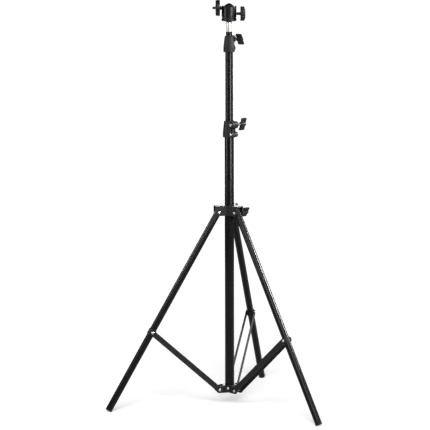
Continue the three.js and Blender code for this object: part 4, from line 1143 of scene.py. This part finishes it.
class STAND_OT_studio(StandOperator, bpy.types.Operator):
    """Pale floor, soft lights and the camera"""

    bl_idname = "stand.studio"
    bl_label = "Studio"

    def execute(self, context):
        floor = self.floor(context.scene)
        self.world(context.scene)
        self.lights(context.scene, floor)
        self.camera(context.scene)
        context.scene.view_settings.view_transform = "Standard"
        context.scene.view_settings.look = "None"
        return {"FINISHED"}

    def floor(self, scene):
        bm = bmesh.new()
        bmesh.ops.create_circle(bm, cap_ends=True, radius=FLOOR_RADIUS, segments=128)
        mesh = bpy.data.meshes.new("floor")
        bm.to_mesh(mesh)
        bm.free()
        material, tree, output = blank_material("Paper sweep, matt")
        noise = add_node(tree, "ShaderNodeTexNoise", {"Scale": pattern_scale(3), "Detail": 2.0})
        relief = add_node(tree, "ShaderNodeBump", {"Strength": 0.03, "Distance": 0.1 * MM},
                          {"Height": noise.outputs["Fac"]})
        shader = add_node(tree, "ShaderNodeBsdfPrincipled",
                          {"Base Color": (*scene.stand_colours.floor, 1), "Roughness": 0.9,
                           "Specular IOR Level": 0.1, "Emission Color": (1, 1, 1, 1),
                           "Emission Strength": FLOOR_GLOW},
                          {"Normal": relief.outputs["Normal"]})
        tree.links.new(shader.outputs["BSDF"], output.inputs["Surface"])
        mesh.materials.append(material)
        floor = bpy.data.objects.new("floor", mesh)
        floor.location = (0, 0, -0.0002)
        scene.collection.objects.link(floor)
        return floor

    def world(self, scene):
        """White where the camera looks past the floor, and dim as a light, so that black stays black."""
        world = bpy.data.worlds.new("Studio")
        world.use_nodes = True
        tree = world.node_tree
        tree.nodes.clear()
        path = add_node(tree, "ShaderNodeLightPath")
        seen = add_node(tree, "ShaderNodeBackground", {"Color": (1, 1, 1, 1), "Strength": SKY_SEEN})
        cast = add_node(tree, "ShaderNodeBackground", {"Color": (1, 1, 1, 1), "Strength": SKY_CAST})
        mix = add_node(tree, "ShaderNodeMixShader", None, {"Fac": path.outputs["Is Camera Ray"]})
        tree.links.new(cast.outputs["Background"], mix.inputs[1])
        tree.links.new(seen.outputs["Background"], mix.inputs[2])
        output = add_node(tree, "ShaderNodeOutputWorld", None, {"Surface": mix.outputs["Shader"]})
        output.is_active_output = True
        scene.world = world

    def lights(self, scene, floor):
        """A wide overhead light for the floor's soft shadows, and strips that only the stand catches."""
        sun = bpy.data.lights.new("Overhead", "SUN")
        sun.energy = OVERHEAD_STRENGTH
        sun.angle = math.radians(OVERHEAD_SOFTNESS)
        lamp = bpy.data.objects.new("Overhead", sun)
        lamp.rotation_euler = (math.radians(OVERHEAD_TILT), 0, math.radians(OVERHEAD_TURN))
        scene.collection.objects.link(lamp)
        kept_out = bpy.data.collections.new("Not lit by the strips")
        kept_out.objects.link(floor)
        kept_out.collection_objects[0].light_linking.link_state = "EXCLUDE"
        # name, azimuth from the camera's side to the right, lowest, highest, width, height aimed at, watts
        for name, azimuth, low, high, wide, aim, power in (
            ("Right strip", 39, 0.46, 1.1, 0.3, 0.75, 5.5),
            ("Left strip", -66, 0.46, 1.1, 0.3, 0.75, 2),
            ("Right softbox", 88, 1.1, 1.7, 0.25, 0.25, 24),
            ("Left softbox", -85, 1.1, 1.7, 0.25, 0.3, 4),
            ("Backdrop", 180, 0.2, 1.1, 1.6, 0.3, 8),
        ):
            light = bpy.data.lights.new(name, "AREA")
            light.shape = "RECTANGLE"
            light.size, light.size_y = wide, high - low
            light.energy = power
            light.spread = math.radians(STRIP_SPREAD)
            lamp = bpy.data.objects.new(name, light)
            a = math.radians(azimuth)
            away = Vector((math.sin(a), -math.cos(a), 0)) * STRIP_DISTANCE
            spot = MAST_AXIS + away + UP * (low + high) / 2
            target = MAST_AXIS + UP * aim
            lamp.matrix_world = axes_frame(spot, (math.cos(a), math.sin(a), 0), spot - target)
            lamp.light_linking.receiver_collection = kept_out
            lamp.visible_camera = False
            scene.collection.objects.link(lamp)

    def camera(self, scene):
        yaw, pitch, roll = (math.radians(v) for v in (CAMERA_YAW, CAMERA_PITCH, CAMERA_ROLL))
        view = Vector((math.sin(yaw) * math.cos(pitch), math.cos(yaw) * math.cos(pitch), -math.sin(pitch)))
        level = Vector((math.cos(yaw), -math.sin(yaw), 0))
        right = level * math.cos(roll) + level.cross(view) * math.sin(roll)
        data = bpy.data.cameras.new("Camera")
        data.sensor_width = CAMERA_SENSOR
        data.lens = CAMERA_LENS
        data.clip_end = 100
        camera = bpy.data.objects.new("Camera", data)
        camera.matrix_world = axes_frame(Vector(CAMERA_PLACE), right, -view)
        scene.collection.objects.link(camera)
        scene.camera = camera


# ---- add-on ----

OPERATORS = (
    STAND_OT_mast_tubes, STAND_OT_legs, STAND_OT_braces, STAND_OT_lower_hub, STAND_OT_leg_collar,
    STAND_OT_clamps, STAND_OT_thumb_screws, STAND_OT_spigot, STAND_OT_head, STAND_OT_swivel,
    STAND_OT_head_knob, STAND_OT_inner_pieces, STAND_OT_studio,
)


class STAND_PT_panel(bpy.types.Panel):
    """Lists the operators with the sizes and colours that they use"""

    bl_idname = "STAND_PT_panel"
    bl_label = "Light Stand"
    bl_space_type = "VIEW_3D"
    bl_region_type = "UI"
    bl_category = "Light Stand"

    def draw(self, context):
        for operator in OPERATORS:
            self.layout.operator(operator.bl_idname)
        for group in (context.scene.stand_sizes, context.scene.stand_colours):
            for name in group.__annotations__:
                self.layout.prop(group, name)


CLASSES = (StandSizes, StandColours, *OPERATORS, STAND_PT_panel)


def register():
    for cls in CLASSES:
        bpy.utils.register_class(cls)
    bpy.types.Scene.stand_sizes = PointerProperty(type=StandSizes)
    bpy.types.Scene.stand_colours = PointerProperty(type=StandColours)


def unregister():
    del bpy.types.Scene.stand_colours
    del bpy.types.Scene.stand_sizes
    for cls in reversed(CLASSES):
        bpy.utils.unregister_class(cls)


def main():
    register()
    for operator in OPERATORS:
        group, name = operator.bl_idname.split(".")
        getattr(getattr(bpy.ops, group), name)()


if __name__ == "__main__":
    main()
